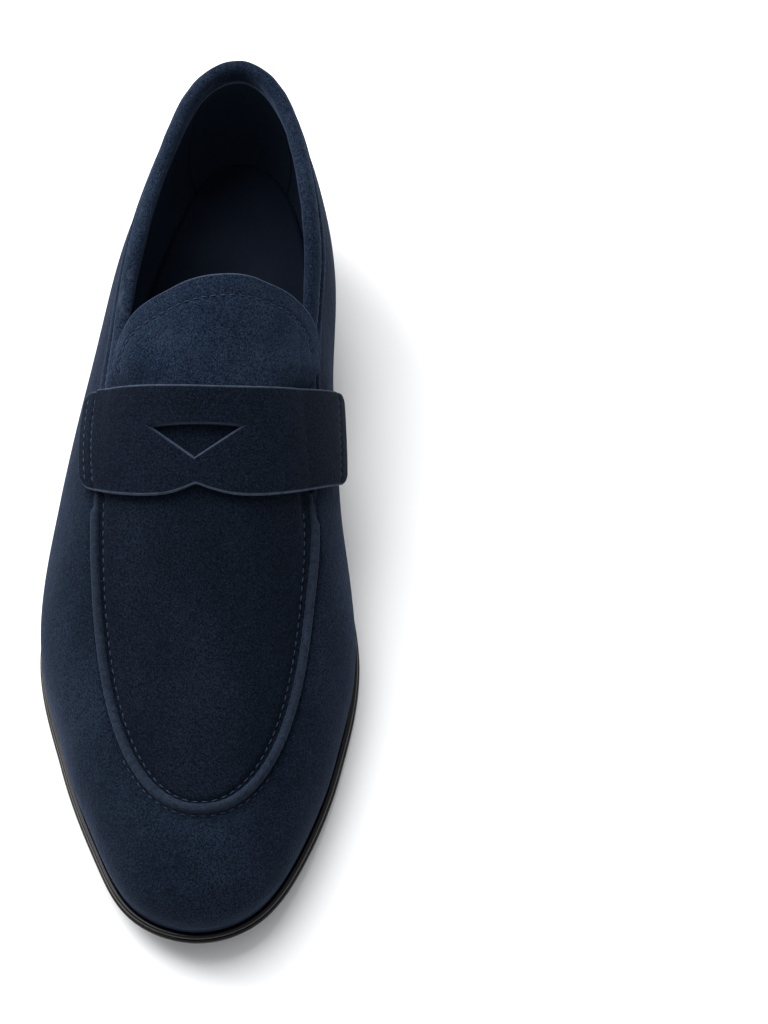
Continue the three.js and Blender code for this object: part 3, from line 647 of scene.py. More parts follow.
def leather(name, base, worn, rough, grain=900, depth=0.00012, edge=None, shine=0.12):
    """Smooth lining or sock leather: fine grain cells, pores and slightly polished patches."""
    n = Nodes(name)
    patches = n.ramp(n.noise(34, 3), 0.35, 0.7)
    grain_cells = n.cells(grain)
    pores = n.ramp(n.cells(grain * 2.3), 0.05, 0.3)
    colour = n.blend(n.math("MULTIPLY", patches, 0.6), base, worn)
    colour = n.blend(n.ramp(grain_cells, 0.0, 0.55, 0.5, 0.0), colour, tuple(c * 0.6 for c in base))
    if edge:
        colour = n.blend(n.math("MULTIPLY", n.attribute("rim"), 0.7), colour, edge)
    height = n.math("ADD", grain_cells, n.math("MULTIPLY", pores, 0.4))
    n.set(Base_Color=colour, Roughness=n.ramp(patches, 0, 1, rough + 0.06, rough - 0.06))
    return n.set(Normal=n.bump(height, depth, 0.6), Specular_IOR_Level=shine)


def polished(name, base, scuffed, rough):
    """Painted and polished sole edge: gloss with faint brush marks along it and small scuffs."""
    n = Nodes(name)
    marks = n.noise(130, 4, 0.6, stretch=(1, 0.5, 7))
    scuffs = n.ramp(n.noise(310, 5, 0.7), 0.62, 0.78)
    colour = n.blend(n.math("MULTIPLY", scuffs, 0.5), base, scuffed)
    brushed = n.ramp(marks, 0.3, 0.7, rough - 0.05, rough + 0.08)
    roughness = n.math("ADD", brushed, n.math("MULTIPLY", scuffs, 0.2))
    n.set(Base_Color=colour, Roughness=roughness, Normal=n.bump(marks, 0.00006, 0.5))
    return n.set(Specular_IOR_Level=0.2)


def fibrous(name, base, dark, scale, rough=0.9, depth=0.0002, metal=0.0):
    """Board, cork, felt or foam: two sizes of grain in two tones."""
    n = Nodes(name)
    coarse = n.ramp(n.cells(scale), 0.1, 0.7)
    fine = n.noise(scale * 5, 3, 0.7)
    colour = n.blend(n.math("MULTIPLY", coarse, fine), dark, base)
    height = n.math("ADD", coarse, fine)
    return n.set(Base_Color=colour, Roughness=n.ramp(fine, 0.3, 0.7, rough - 0.08, rough + 0.08),
                 Normal=n.bump(height, depth, 0.6), Metallic=metal)


def thread(name, base, light):
    """Twisted sewing thread."""
    n = Nodes(name)
    twist = n.noise(1900)
    colour = n.blend(n.ramp(twist, 0.35, 0.65), base, light)
    return n.set(Base_Color=colour, Roughness=n.ramp(twist, 0.3, 0.7, 0.5, 0.75),
                 Normal=n.bump(twist, 0.00012, 0.7), Specular_IOR_Level=0.2)


# One suede at different levels of lightness, as painted light and shade: the tongue and collar are painted
# lighter and the apron and strap painted darker than the wall, for how the light falls on each piece.
SUEDE = suede("suede_navy", level=0.85, sheen=0.12, patch=1.6)
SUEDE_APRON = suede("suede_apron", level=0.6, sheen=0.07, patch=1.3)
SUEDE_STRAP = suede("suede_strap", level=0.66, sheen=0.04, patch=0.9)
SUEDE_TONGUE = suede("suede_tongue", level=1.5, sheen=0.2, patch=1.7)
SUEDE_COLLAR = suede("suede_collar", level=1.3, sheen=0.17, patch=1.7, scuff=0.5)
CUT_SUEDE = suede("suede_cut_edge", level=1.3)
BACKING = leather("backing_navy", (0.008, 0.012, 0.022), (0.013, 0.018, 0.030), 0.7, edge=(0.03, 0.04, 0.06))
LINING_LEATHER = leather("lining_navy", (0.0110, 0.0190, 0.0370), (0.017, 0.027, 0.048), 0.7, edge=NAVY)
SOCK_LEATHER = leather("sock_navy", (0.0050, 0.0085, 0.0170), (0.0068, 0.0108, 0.0205), 0.72, grain=1300,
                       depth=0.00005, shine=0.04)
THREAD_NAVY = thread("thread_navy", (0.006, 0.012, 0.026), (0.020, 0.033, 0.062))
SOLE_BLACK = polished("sole_edge_black", (0.0020, 0.0020, 0.0026), (0.010, 0.010, 0.012), 0.24)
RAND_BLACK = polished("rand_black", (0.0016, 0.0016, 0.0022), (0.007, 0.007, 0.009), 0.2)
HEEL_BLACK = polished("heel_black", (0.0022, 0.0022, 0.0028), (0.011, 0.011, 0.013), 0.27)
RUBBER = fibrous("rubber_black", (0.007, 0.007, 0.008), (0.003, 0.003, 0.004), 1200, 0.72, 0.0001)
FELT = fibrous("stiffener_fibre", (0.56, 0.5, 0.4), (0.4, 0.34, 0.25), 900)
BOARD_FIBRE = fibrous("board_fibre", (0.46, 0.33, 0.19), (0.3, 0.2, 0.1), 700)
FOAM = fibrous("foam_cream", (0.7, 0.66, 0.55), (0.5, 0.46, 0.37), 1100, 0.95, 0.0003)
CORK = fibrous("cork_brown", (0.42, 0.25, 0.12), (0.16, 0.09, 0.04), 380, 0.92, 0.0004)
STEEL = fibrous("steel_grey", (0.42, 0.43, 0.45), (0.3, 0.31, 0.33), 1500, 0.34, 0.00003, metal=1.0)

# ---------- camera ----------


def aim(item, place, target, unit=1.0):
    """Puts a camera or lamp at a place and turns it to a target. Both are given in `unit` metres."""
    item.location = Vector(place) * unit
    item.rotation_mode = "QUATERNION"
    item.rotation_quaternion = (Vector(target) - Vector(place)).to_track_quat("-Z", "Y")


CAMERA_TARGET = (60.5, 6.2, 20)
CAMERA_DISTANCE = 1100
CAMERA_ELEVATION = radians(59.4)
CAMERA_AZIMUTH = radians(2)
CAMERA_LENS = 113.6
camera_data = bpy.data.cameras.new("camera")
camera_data.lens = CAMERA_LENS
camera_data.sensor_width = 36
camera_data.clip_end = 20
camera = bpy.data.objects.new("camera", camera_data)
bpy.context.scene.collection.objects.link(camera)
bpy.context.scene.camera = camera
BACK = (sin(CAMERA_AZIMUTH) * cos(CAMERA_ELEVATION), -cos(CAMERA_AZIMUTH) * cos(CAMERA_ELEVATION),
        sin(CAMERA_ELEVATION))
CAMERA_PLACE = [t + b * CAMERA_DISTANCE for t, b in zip(CAMERA_TARGET, BACK)]
aim(camera, CAMERA_PLACE, CAMERA_TARGET, MM)

# ---------- wall of the upper ----------
ROUND_SHOE = np.linspace(-1, 1, 361)[:-1]


def wall_relief(u, z, top):
    """The wall's face over its plain surface: a dip to the apron seam, a slimmer lateral ball, soft waves."""
    near = top - z
    step = -0.95 * np.exp(-((near / 1.9) ** 2)) * seam_share(u)
    slim = -0.75 * np.exp(-(((u + 0.35) / 0.12) ** 2)) * smooth(z / 9)
    calm = smooth(near / 6) * smooth(z / 5)
    return step + slim + ripple(ring_point(u, z, 0), 0.22) * calm


def upper_wall():
    u = ROUND_SHOE[:, None]
    top = wall_top(ROUND_SHOE, 0.95)[:, None]
    levels = np.linspace(0, 1, 44)[None, :] ** 0.9
    z = top * levels
    outer = ring_point(u, z, SUEDE_OUT + wall_relief(u, z, top))
    inner = ring_point(u, z, SUEDE_IN)
    rim = ring_point(u, top, SUEDE_OUT - RAW_EDGE)
    rim_in = ring_point(u, top, SUEDE_IN + RAW_EDGE)
    under = [(-MARGIN_WIDTH, MARGIN_BOTTOM), (SUEDE_OUT - 1.4, MARGIN_BOTTOM),
             (SUEDE_OUT - 0.4, MARGIN_BOTTOM + 0.4), (SUEDE_OUT, MARGIN_BOTTOM + 1.4)]
    over = [(SUEDE_IN, MARGIN_TOP + 0.6), (SUEDE_IN - 0.6, MARGIN_TOP), (-MARGIN_WIDTH, MARGIN_TOP)]
    low = [ring_point(u, h, off) for off, h in under]
    high = [ring_point(u, h, off) for off, h in over]
    outer[:, -1:] = mix(outer[:, -1:], outer[:, -2:-1], 0.3)
    loops = np.concatenate([*low, outer, rim, rim_in, inner[:, ::-1], *high], 1)
    tint = np.zeros(loops.shape[:2])
    edge = len(low) + outer.shape[1]
    tint[:, edge - 1 : edge + 2] = 0.35
    return finish_piece(loop_piece("wall_suede", loops, SUEDE, True, tint), ["upper_wall"])


def wall_stitches():
    """The second row of stitches, on the wall close round the toe curve of the piping."""
    t = np.linspace(-0.4, 0.4, 240)
    x, s = seam_offset(t, np.full(len(t), 2.3)).T
    return stitch_row("toe_wall_stitches", lambda off: plan_point(x, s, SUEDE_OUT - 0.7 + off), THREAD_NAVY,
                      length=1.9, radius=0.24)


# ---------- apron and piping ----------


def apron_relief(distance):
    """The apron's height over its plain surface, from the distance inside the seam."""
    groove = -0.95 * np.exp(-(((distance - 1.9) / 1.1) ** 2))
    return groove + 0.5 * smooth((distance - 3) / 9)


def apron():
    rows = np.linspace(0, 1, 130) ** 1.15
    across = np.sin(np.linspace(-1, 1, 91) * pi / 2)
    lateral = seam_offset(-seam_end(-1, APRON_BACK) * rows - 1e-6, np.full(len(rows), -0.85))
    medial = seam_offset(seam_end(1, APRON_BACK) * rows + 1e-6, np.full(len(rows), -0.85))
    t = ((across + 1) / 2)[None, :, None]
    plan = lateral[:, None] + (medial - lateral)[:, None] * t
    x, s = plan[..., 0], plan[..., 1]
    inside = -outside_seam(x, s)
    calm = smooth((inside - 3) / 6)
    relief = apron_relief(inside) + ripple(plan_point(x, s, 0), 0.2) * calm
    outer, inner = plan_point(x, s, SUEDE_OUT + relief), plan_point(x, s, SUEDE_IN)
    piece = sheet_piece("apron_suede", outer, inner, SUEDE_APRON)
    return finish_piece(piece, ["apron"])


def apron_stitches():
    t = np.linspace(-seam_end(-1, STRAP_FRONT + 3), seam_end(1, STRAP_FRONT + 3), 700)
    x, s = seam_offset(t, np.full(len(t), -2.1)).T
    return stitch_row("apron_stitches", lambda off: plan_point(x, s, SUEDE_OUT - 0.76 + off), THREAD_NAVY)


def piping():
    """A suede-covered cord in the apron seam, pulled in a little at each stitch."""
    x, s = seam_point(np.linspace(-seam_end(-1, PIPING_END), seam_end(1, PIPING_END + 1), 620)).T
    sink = smooth((s - STRAP_FRONT + 1) / 4)
    centre = plan_point(x, s, SUEDE_OUT + 0.25 - sink)
    up = plan_point(x, s, SUEDE_OUT + 1) - plan_point(x, s, SUEDE_OUT)
    along = np.gradient(centre, axis=0)
    along /= np.linalg.norm(along, axis=1, keepdims=True)
    across = np.cross(along, up)
    across /= np.linalg.norm(across, axis=1, keepdims=True)
    up = np.cross(across, along)
    travelled = np.concatenate([[0], np.cumsum(np.linalg.norm(np.diff(centre, axis=0), axis=1))])
    radius = PIPING_RADIUS * (1 - 0.35 * sink) * (1 + 0.035 * np.cos(2 * pi * travelled / PITCH))
    turn = (np.linspace(0, 2 * pi, 19)[:-1] + 0.1)[:, None]
    rim = across[:, None] * np.cos(turn) + up[:, None] * np.sin(turn)
    loops = centre[:, None] + radius[:, None, None] * rim
    # The whole piping is painted a fifth of the way to the pale edge colour: a painted highlight along the
    # cord, not a cut edge.
    piece = loop_piece("apron_piping_suede", loops, SUEDE, False, np.full(loops.shape[:2], 0.2))
    return finish_piece(piece, ["apron_piping"])


# ---------- strap ----------
STRAP_ARM = 52  # roughly from the strap's middle to either end, over the surface


def strap_grid(inset):
    """The strap's chart: g across, and lengths whose corners are rounded off."""
    g = np.sin(np.linspace(-1, 1, 201) * 1.25) / sin(1.25) * (1 - inset / STRAP_ARM)
    front, back = strap_edges(g)
    from_end = (1 - np.abs(g)) * STRAP_ARM - inset
    into = np.clip(STRAP_CORNER - from_end, 0, STRAP_CORNER * 0.985)
    cut = STRAP_CORNER - np.sqrt(STRAP_CORNER**2 - into**2) + inset
    t = np.linspace(0, 1, 46)[None, :]
    s = mix((front + cut)[:, None], (back - cut)[:, None], t)
    return g[:, None] + 0 * s, s


STRAP_ROWS = (3.0, 6.3)  # the lateral end's stitch rows, from the end
STRAP_ROW = 4.6


def strap_relief(g, s):
    """Crown of the strap, its stepped lateral end, and a channel along each sewn end."""
    front, back = strap_edges(g)
    across = (s - front) / (back - front)
    crown = 0.5 * np.clip(4 * across * (1 - across), 0, 1) ** 0.6
    end = (1 - np.abs(g)) * STRAP_ARM
    step = np.where(g < 0, -1.05 * (1 - smooth((end - 7.2) / 0.9)), 0)
    channel = -0.4 * np.exp(-(((end - np.where(g < 0, STRAP_ROWS[1], STRAP_ROW)) / 0.8) ** 2))
    return crown + step + channel


def slot_cutter(grow, material):
    """A triangular prism with flared sides, for the coin slot and its bevelled edges."""
    back = SLOT_S + SLOT_LENGTH / 2
    outlines = []
    for flare in (0.0, SLOT_BEVEL):
        half = SLOT_HALF_WIDTH + grow - SLOT_BEVEL * 1.3 + flare * 1.5
        tip = SLOT_LENGTH + grow - SLOT_BEVEL * 0.9 + flare * 1.1
        bow = [(SLOT_X + half * k, back + (1 - k * k) * 0.15 + flare * 0.5) for k in np.linspace(1, -1, 13)]
        outlines.append(np.array([*bow, (SLOT_X, back - tip)]))
    low, high = outlines
    levels = ((low, SUEDE_OUT - 1), (low, STRAP_OUT - 1.1), (high, STRAP_OUT + 0.6), (high, STRAP_OUT + 3))
    loops = [plan_point(*plan.T, off) for plan, off in levels]
    count = len(low)
    faces = loop_faces(4, count, True)[: 3 * count]
    faces += [list(range(count))[::-1], [3 * count + j for j in range(count)]]
    return add_mesh("slot_cutter", np.concatenate(loops), faces, material)


def cut(piece, cutter):
    """Takes the cutter's shape out of the piece and removes the cutter."""
    modifier = piece.modifiers.new("slot", "BOOLEAN")
    modifier.operation = "DIFFERENCE"
    modifier.solver = "EXACT"
    modifier.object = cutter
    modifier.material_mode = "TRANSFER"
    bpy.context.view_layer.update()
    result = bpy.data.meshes.new_from_object(piece.evaluated_get(bpy.context.evaluated_depsgraph_get()))
    piece.modifiers.remove(modifier)
    piece.data = result
    result.set_sharp_from_angle(angle=radians(38))
    bpy.data.objects.remove(cutter)


def strap_layer(name, low, high, inset, material, relief, grow):
    g, s = strap_grid(inset)
    angle = side_angle(s, g, STRAP_END)
    outer = arch_point(s, angle, high + relief * strap_relief(g, s))
    inner = arch_point(s, angle, low + 0 * s)
    piece = sheet_piece(name, outer, inner, material)
    cut(piece, slot_cutter(grow, CUT_SUEDE))
    return piece


def strap():
    piece = strap_layer("strap_suede", STRAP_IN, STRAP_OUT, 0, SUEDE_STRAP, 1.0, 0)
    finish_piece(piece, ["saddle_strap"])
    lining_out = STRAP_LINING_IN + STRAP_LINING
    backing = strap_layer("strap_backing", STRAP_LINING_IN, lining_out, 0.5, BACKING, 0, 0.5)
    finish_piece(backing, ["strap_lining"])


def strap_stitches(name, side, from_end):
    g = np.full(160, side * (1 - from_end / STRAP_ARM))
    front, back = strap_edges(g)
    s = np.linspace(0, 1, 160) * (back - front - 5) + front + 2.5
    angle = side_angle(s, g, STRAP_END)
    base = strap_relief(g, s) + 0.05
    return stitch_row(name, lambda off: arch_point(s, angle, STRAP_OUT + base + off), THREAD_NAVY,
                      pitch=2.7, length=1.8)


# ---------- tongue ----------


def strap_back(g):
    """Length of the strap's back edge over the tongue's place g, which is nearer its middle than its ends."""
    return strap_edges(g * TONGUE_SHARE)[1]


def tongue_tip(g, inset, narrow=1.0):
    """Length at which the tongue ends at g, or its stitch row `inset` inside it."""
    root = strap_back(g) - TONGUE_TUCK
    n = np.where(g < 0, TONGUE_ROUNDNESS[-1], TONGUE_ROUNDNESS[1])
    share = np.maximum(0, 1 - np.abs(g / narrow) ** n) ** (1 / n)
    return root + (TONGUE_TIP + TONGUE_TILT * g - inset - root) * share


def tongue_grid(inset, columns=201, rows=60):
    g = np.sin(np.linspace(-1, 1, columns) * pi / 2)[:, None]
    t = np.linspace(0, 1, rows)[None, :]
    return g + 0 * t, mix(strap_back(g) - TONGUE_TUCK, tongue_tip(g, inset), t)


def tongue_point(g, s, off, inset=0.0):
    ends = {side: TONGUE_EDGE[side] + inset for side in TONGUE_EDGE}
    free = smooth((s - strap_back(g) + 1) / 9)
    lift = TONGUE_LIFT * smooth((np.abs(g) - TONGUE_LIFT_FROM) / 0.4) * free
    return arch_point(s, side_angle(s, g, ends), off + lift)


def tongue():
    g, s = tongue_grid(0)
    points = tongue_point(g, s, TONGUE_OUT)
    path = tongue_stitch_path()
    line = tongue_point(*path, TONGUE_OUT)
    gap = np.full(g.shape, 1e9)
    for k in range(0, len(line), 2):
        gap = np.minimum(gap, np.linalg.norm(points - line[k], axis=-1))
    relief = -0.4 * np.exp(-((gap / 0.9) ** 2)) + ripple(points, 0.22) * smooth(gap / 6)
    outer = tongue_point(g, s, TONGUE_OUT + relief)
    inner = tongue_point(g, s, TONGUE_IN)
    piece = sheet_piece("tongue_suede", outer, inner, SUEDE_TONGUE)
    inset = 0.7
    g, s = tongue_grid(inset, 121, 40)
    outer = tongue_point(g, s, TONGUE_LINING_IN + TONGUE_LINING, inset)
    backing = sheet_piece("tongue_backing", outer, tongue_point(g, s, TONGUE_LINING_IN, inset), BACKING)
    finish_piece(piece, ["tongue"], body=None)
    finish_piece(backing, ["tongue_lining"], body=None)
    return [piece, backing]


def tongue_stitch_path():
    """The stitch row: about 7 mm inside the tip and 4 mm inside the sides."""
    g = 0.9 * np.sin(np.linspace(-1, 1, 361) * pi / 2)
    return g, tongue_tip(g, 6.6, 0.915)


def tongue_stitches():
    g, s = tongue_stitch_path()
    shown = s > strap_back(g) - 1
    g, s = g[shown], s[shown]
    return stitch_row("tongue_stitches", lambda off: tongue_point(g, s, TONGUE_OUT - 0.2 + off), THREAD_NAVY)


# ---------- collar ----------
COLLAR_STEPS = 320


def collar_start(side, z):
    s0, s1 = crest_lengths(z)
    return np.arccos(np.clip(1 - 2 * (COLLAR_FROM[side] - s0) / (s1 - s0), -1, 1)) / pi


def collar_loops(profile):
    """Loops of a collar profile [off, dz] from the lateral end round the heel to the medial end."""
    loops = []
    off, dz = (np.array([p[k] for p in profile], float) for k in (0, 1))
    for t in np.linspace(-1, 1, COLLAR_STEPS + 1):
        side = -1 if t <= 0 else 1
        start = collar_start(side, topline(side * TOPLINE_START) - COLLAR_HEIGHT / 2)
        middle = 1 + (start - 1) * abs(t)
        z = topline(side * middle) + dz
        u = side * (1 + (collar_start(side, z) - 1) * abs(t))
        thin = COLLAR_THIN * smooth((abs(t) - 0.65) / 0.25)
        plump = 0.1 * sin(41 * t + 1) * sin(17 * t) + 0.03 * sin(90 * t)
        swell = np.clip(1 - ((dz + 3.5) / 4.5) ** 2, 0, 1) * plump
        loops.append(ring_point(u, z, np.where(off > 2.5, off - thin, off) + swell))
    return np.array(loops)


def rounded(profile, count):
    """A profile resampled on a Catmull-Rom curve."""
    at = np.linspace(0, len(profile) - 1, count)
    return list(zip(*(curve([p[k] for p in profile], at) for k in (0, 1))))


COLLAR_OUT = [(4.1, -9.0), (4.85, -8.75), (5.05, -7.9), (4.9, -7.1), (4.3, -6.3), (5.1, -5.2), (5.6, -3.7),
              (5.3, -1.9), (4.4, -0.7), (3.0, -0.4), (1.5, -1.0), (0.4, -2.7), (0.0, -5.0), (-0.3, -6.8),
              (-0.5, -8.3)]
COLLAR_IN = [(0.05, -8.2), (0.35, -4.4), (1.3, -2.3), (2.6, -1.6), (3.9, -2.8), (4.15, -4.4), (3.97, -6.2),
             (4.0, -8.6)]


COLLAR_OUTER_EDGE = slice(0, 6)  # the profile's points on the binding's raw edge outside the shoe
COLLAR_INNER_EDGE = slice(52, 59)  # and on its raw edge inside the shoe


def collar():
    profile = rounded(COLLAR_OUT, 56) + rounded(COLLAR_IN, 24)
    loops = collar_loops(profile)
    rows, count = loops.shape[:2]
    rim = np.zeros((rows, count))
    # Both raw edges are paled towards the cut-edge colour over a broad band of points: partly the raw edge's
    # own colour, partly painted highlight, on the outer seam line where it would catch light and on the inner
    # edge, which lies in the shade inside the shoe.
    rim[:, COLLAR_OUTER_EDGE] = 0.8
    rim[:, COLLAR_INNER_EDGE] = 1
    faces = loop_faces(rows, count, True)[: (rows - 1) * count]
    faces += [list(range(count))[::-1], [(rows - 1) * count + j for j in range(count)]]
    piece = add_mesh("collar_suede", loops.reshape(-1, 3), faces, SUEDE_COLLAR, rim, sharp=70)
    return finish_piece(piece, ["collar_binding"])


def collar_stitches(name, off, dz):
    def surface(extra):
        return collar_loops([(off + extra, dz)])[:, 0]

    return stitch_row(name, surface, THREAD_NAVY, pitch=3.0, length=1.9, radius=0.27)


# ---------- back strip ----------


def back_strip():
    u = np.linspace(BACK_STRIP_EDGE, 2 - BACK_STRIP_EDGE, 25)
    u = np.where(u > 1, u - 2, u)[:, None]
    t = np.linspace(0, 1, 60)[None, :]
    z = mix(0.0, collar_foot(np.sign(u) * 1.0) - 1.4, t)
    outer = ring_point(u, z, SUEDE_OUT + GAP + LINING)
    piece = sheet_piece("back_strip_suede", outer, ring_point(u, z, SUEDE_OUT + 0.15), SUEDE)
    return finish_piece(piece, ["back_strip"])


def back_strip_stitches(name, side):
    z = np.linspace(3, collar_foot(1.0) - 3, 120)
    u = side * (1 - 0.62 * (1 - BACK_STRIP_EDGE))
    return stitch_row(name, lambda off: ring_point(u, z, SUEDE_OUT + GAP + LINING - 0.08 + off), THREAD_NAVY,
                      pitch=2.8, length=1.8, radius=0.24)


# ---------- linings and sock ----------


def height_at_length(u, s):
    return highest(lambda z: ring_base(u, z)[2] < s, np.zeros_like(u), np.full_like(u, INSTEP_HEIGHT * 0.99))


def lining(name, node, u, over_vamp=False):
    top = height_at_length(u, LINING_BACK) if over_vamp else wall_top(u, 1.9)
    z = mix(-2.0, top[:, None], np.linspace(0, 1, 50)[None, :])
    u = u[:, None]
    piece = sheet_piece(name, ring_point(u, z, LINING), ring_point(u, z, 0), LINING_LEATHER)
    return finish_piece(piece, [node])


def linings():
    lining("vamp_lining_leather", "vamp_lining", np.linspace(-VAMP_EDGE, VAMP_EDGE, 121), True)
    for side, word in ((-1, "lateral"), (1, "medial")):
        u = np.linspace(side * (VAMP_EDGE + 1e-4), side * (GRIP_EDGE - 1e-4), 121)
        lining(f"quarter_lining_{word}_leather", f"quarter_lining_{word}", u)
    u = np.linspace(GRIP_EDGE, 2 - GRIP_EDGE, 61)
    lining("heel_grip_leather", "heel_grip", np.where(u > 1, u - 2, u))


def plate_loops(q, off, z, columns):
    """Loops round a plate on the bottom: up its lateral side, across its top and back underneath."""
    q = np.maximum(q, 1e-9)[:, None]
    left, right = (ring_point(side * q, z[None, :], off[None, :]) for side in (-1, 1))
    t = np.linspace(0, 1, columns)[1:-1][None, :, None]
    top = mix(left[:, -1:], right[:, -1:], t)
    bottom = mix(right[:, :1], left[:, :1], t)
    return np.concatenate([left, top, right[:, ::-1], bottom], 1)


def round_loop(values, columns):
    """The side profile's values at every point of a plate's loop."""
    top, bottom = (np.full(columns - 2, values[end]) for end in (-1, 0))
    return np.concatenate([values, top, values[::-1], bottom])[None, :]


def plate(name, loops, material, sharp=None):
    """The plate through the loops, with a flat face at either end."""
    rows, count = loops.shape[:2]
    faces = loop_faces(rows, count, True)[: (rows - 1) * count]
    faces += [list(range(count)), [(rows - 1) * count + j for j in range(count)]]
    return add_mesh(name, loops.reshape(-1, 3), faces, material, sharp=sharp)


SOCK_COLUMNS = 27
SOCK_DISH_END = 22  # the point of a loop, nearly three quarters of the way across, where the dish is full
SOCK_DISH = 0.9


def sock():
    """The sock, dished from its lateral edge and level with the dish's rim along the medial side."""
    off = np.array([-0.9, -0.7, -0.7, -1.0])
    z = np.array([SOCK_BOTTOM, SOCK_BOTTOM + 0.3, SOCK_TOP - 0.3, SOCK_TOP])
    loops = plate_loops(np.linspace(0, 1, 220), off, z, SOCK_COLUMNS)
    start, end = loops[:, :1, 0], loops[:, SOCK_DISH_END : SOCK_DISH_END + 1, 0]
    half = np.abs(start - end) / 2 + 1e-6
    across = np.clip(np.abs(loops[..., 0] - (start + end) / 2) / half, 0, 1)
    loops[..., 2] += SOCK_DISH * across**4 * (round_loop(z, SOCK_COLUMNS) > SOCK_TOP - 0.1)
    return finish_piece(plate("sock_leather", loops, SOCK_LEATHER), ["sock_liner"])


# ---------- sole and heel ----------
PLATE_COLUMNS = 15
# Both profiles rise from the underside: distance out from the edge, height over the feather line.
OUTSOLE_PROFILE = [(-2.4, -7), (-1.1, -6.9), (-0.35, -6.45), (0, -5.7), (0.05, -5.1), (-0.2, -4.62),
                   (-0.55, -4.4), (-1.1, OUTSOLE_TOP)]
RAND_INNER = SUEDE_OUT + 0.05
RAND_OUTER = SUEDE_OUT + SOLE_EDGE - 0.5
RAND_PROFILE = [(RAND_INNER, -3.9), (RAND_OUTER - 0.3, -3.95), (RAND_OUTER, -3.3), (RAND_OUTER - 0.25, -2.55),
                (RAND_OUTER - 1.0, -2.2), (RAND_INNER, -2.15)]


def outsole():
    out, z = np.array(OUTSOLE_PROFILE, float).T
    loops = plate_loops(np.linspace(0, 1, 320), SUEDE_OUT + SOLE_EDGE + out, z, PLATE_COLUMNS)
    return finish_piece(plate("outsole_edge", loops, SOLE_BLACK, sharp=50), ["outsole"])


def rand():
    off, z = np.array(rounded(RAND_PROFILE, 20)).T
    u = np.linspace(-1, 1, 481)[:-1]
    loops = ring_point(u[:, None], z[None, :], off[None, :])
    return finish_piece(loop_piece("rand_strip", loops, RAND_BLACK, True), ["sole_rand"])


def heel_loops(profile):
    """Loops of a heel layer, from the heel's breast to its back, and its profile's levels at each point."""
    out, level = np.array(profile, float).T
    edge = SUEDE_OUT + SOLE_EDGE - 0.8
    loops = plate_loops(np.linspace(HEEL_BREAST, 1, 130), edge + out, np.zeros(len(out)), PLATE_COLUMNS)
    return loops, round_loop(level, PLATE_COLUMNS)


def heel_lift(k):
    """Lift k from the ground up. Its levels are shares of the way from the top piece to the outsole."""
    low, high = k / LIFTS, (k + 1) / LIFTS
    low_in, high_in = (HEEL_INSET * (LIFTS - i) / (LIFTS + 1) for i in (k, k + 1))
    soft = (high - low) * 0.06
    profile = [(-low_in - 0.35, low + soft * 0.2), (-low_in, low + soft), (-high_in, high - soft),
               (-high_in - 0.35, high - soft * 0.2)]
    loops, share = heel_loops(profile)
    under = seat(loops[..., 1] + LAST_LENGTH / 2) - BOTTOM_THICKNESS - 0.05
    loops[..., 2] = mix(TOP_PIECE + 0.05, under, share)
    piece = plate(f"heel_lift_{k + 1}_edge", loops, HEEL_BLACK, sharp=40)
    return finish_piece(piece, [f"heel_lift_{k + 1}"])


def top_piece():
    """The rubber top piece. Its levels are heights over the floor."""
    profile = [(-0.9, 0.0), (-0.25, 0.15), (0.0, 0.7), (0.2, TOP_PIECE - 0.45), (-0.05, TOP_PIECE - 0.05)]
    loops, height = heel_loops([(out - HEEL_INSET, level) for out, level in profile])
    loops[..., 2] = height
    return finish_piece(plate("top_piece_rubber", loops, RUBBER, sharp=40), ["top_piece"])


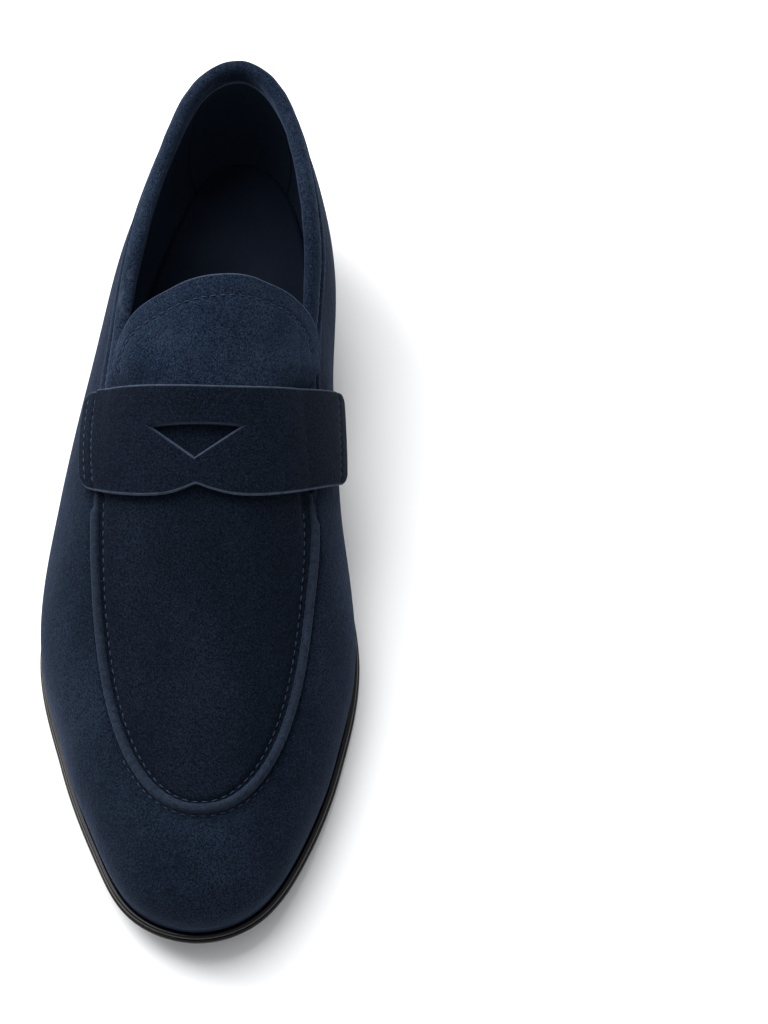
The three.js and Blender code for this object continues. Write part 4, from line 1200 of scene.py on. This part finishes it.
# ---------- the shoe ----------
upper_wall()
apron()
piping()
strap()
collar()
back_strip()
linings()
sock()
outsole()
rand()
for lift in range(LIFTS):
    heel_lift(lift)
top_piece()
flap = [*tongue(), tongue_stitches()]
for row in (wall_stitches(), apron_stitches(),
            strap_stitches("strap_stitches_lateral", -1, STRAP_ROWS[1]),
            strap_stitches("strap_stitches_lateral_outer", -1, STRAP_ROWS[0]),
            strap_stitches("strap_stitches_medial", 1, STRAP_ROW),
            collar_stitches("collar_stitches", 4.3, -6.35),
            collar_stitches("collar_stitches_lower", SUEDE_OUT, -11.2),
            back_strip_stitches("back_strip_stitches_lateral", -1),
            back_strip_stitches("back_strip_stitches_medial", 1)):
    finish_piece(row)

# The tongue's pieces and stitch row get their transforms baked into their meshes.
for piece in flap:
    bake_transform(piece)

# Pieces inside the shoe keep their own solids.
INSIDE = {FELT: ["toe_puff", "heel_counter"], BOARD_FIBRE: ["insole_board"],
          FOAM: ["footbed_foam", "collar_foam"], CORK: ["cork_filler"],
          STEEL: ["shank", *(f"heel_nail_{k}" for k in range(1, 6))]}
for material, names in INSIDE.items():
    for name in names:
        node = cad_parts[name]
        node.data.materials.clear()
        node.data.materials.append(material)

# ---------- floor and light ----------


def area_light(name, place, target, size, power):
    data = bpy.data.lights.new(name, "AREA")
    data.shape = "RECTANGLE"
    data.size, data.size_y = size
    data.energy = power
    lamp = bpy.data.objects.new(name, data)
    bpy.context.scene.collection.objects.link(lamp)
    aim(lamp, place, target)


FLOOR = 6  # half its width, in metres
floor_mesh = bpy.data.meshes.new("floor")
corners = [(-FLOOR, -FLOOR, 0), (FLOOR, -FLOOR, 0), (FLOOR, FLOOR, 0), (-FLOOR, FLOOR, 0)]
floor_mesh.from_pydata(corners, [], [(0, 1, 2, 3)])
floor = bpy.data.objects.new("floor", floor_mesh)
bpy.context.scene.collection.objects.link(floor)
paper = Nodes("floor_paper")
paper_tone = paper.blend(paper.noise(3), (0.9, 0.9, 0.905), (0.93, 0.93, 0.935))
floor_mesh.materials.append(paper.set(Base_Color=paper_tone, Roughness=0.55))

world = bpy.data.worlds.new("studio")
bpy.context.scene.world = world
world.use_nodes = True
sky = world.node_tree.nodes["Background"].inputs
sky["Color"].default_value = (0.97, 0.98, 1, 1)
sky["Strength"].default_value = 0.58
area_light("overhead", (-0.4, 0.5, 1.5), (0, 0, 0), (1.4, 1.1), 27)
area_light("from_behind", (-1.1, 0.8, 0.8), (0, 0.05, 0.05), (1.0, 0.6), 20)
bpy.context.scene.view_settings.view_transform = "Standard"
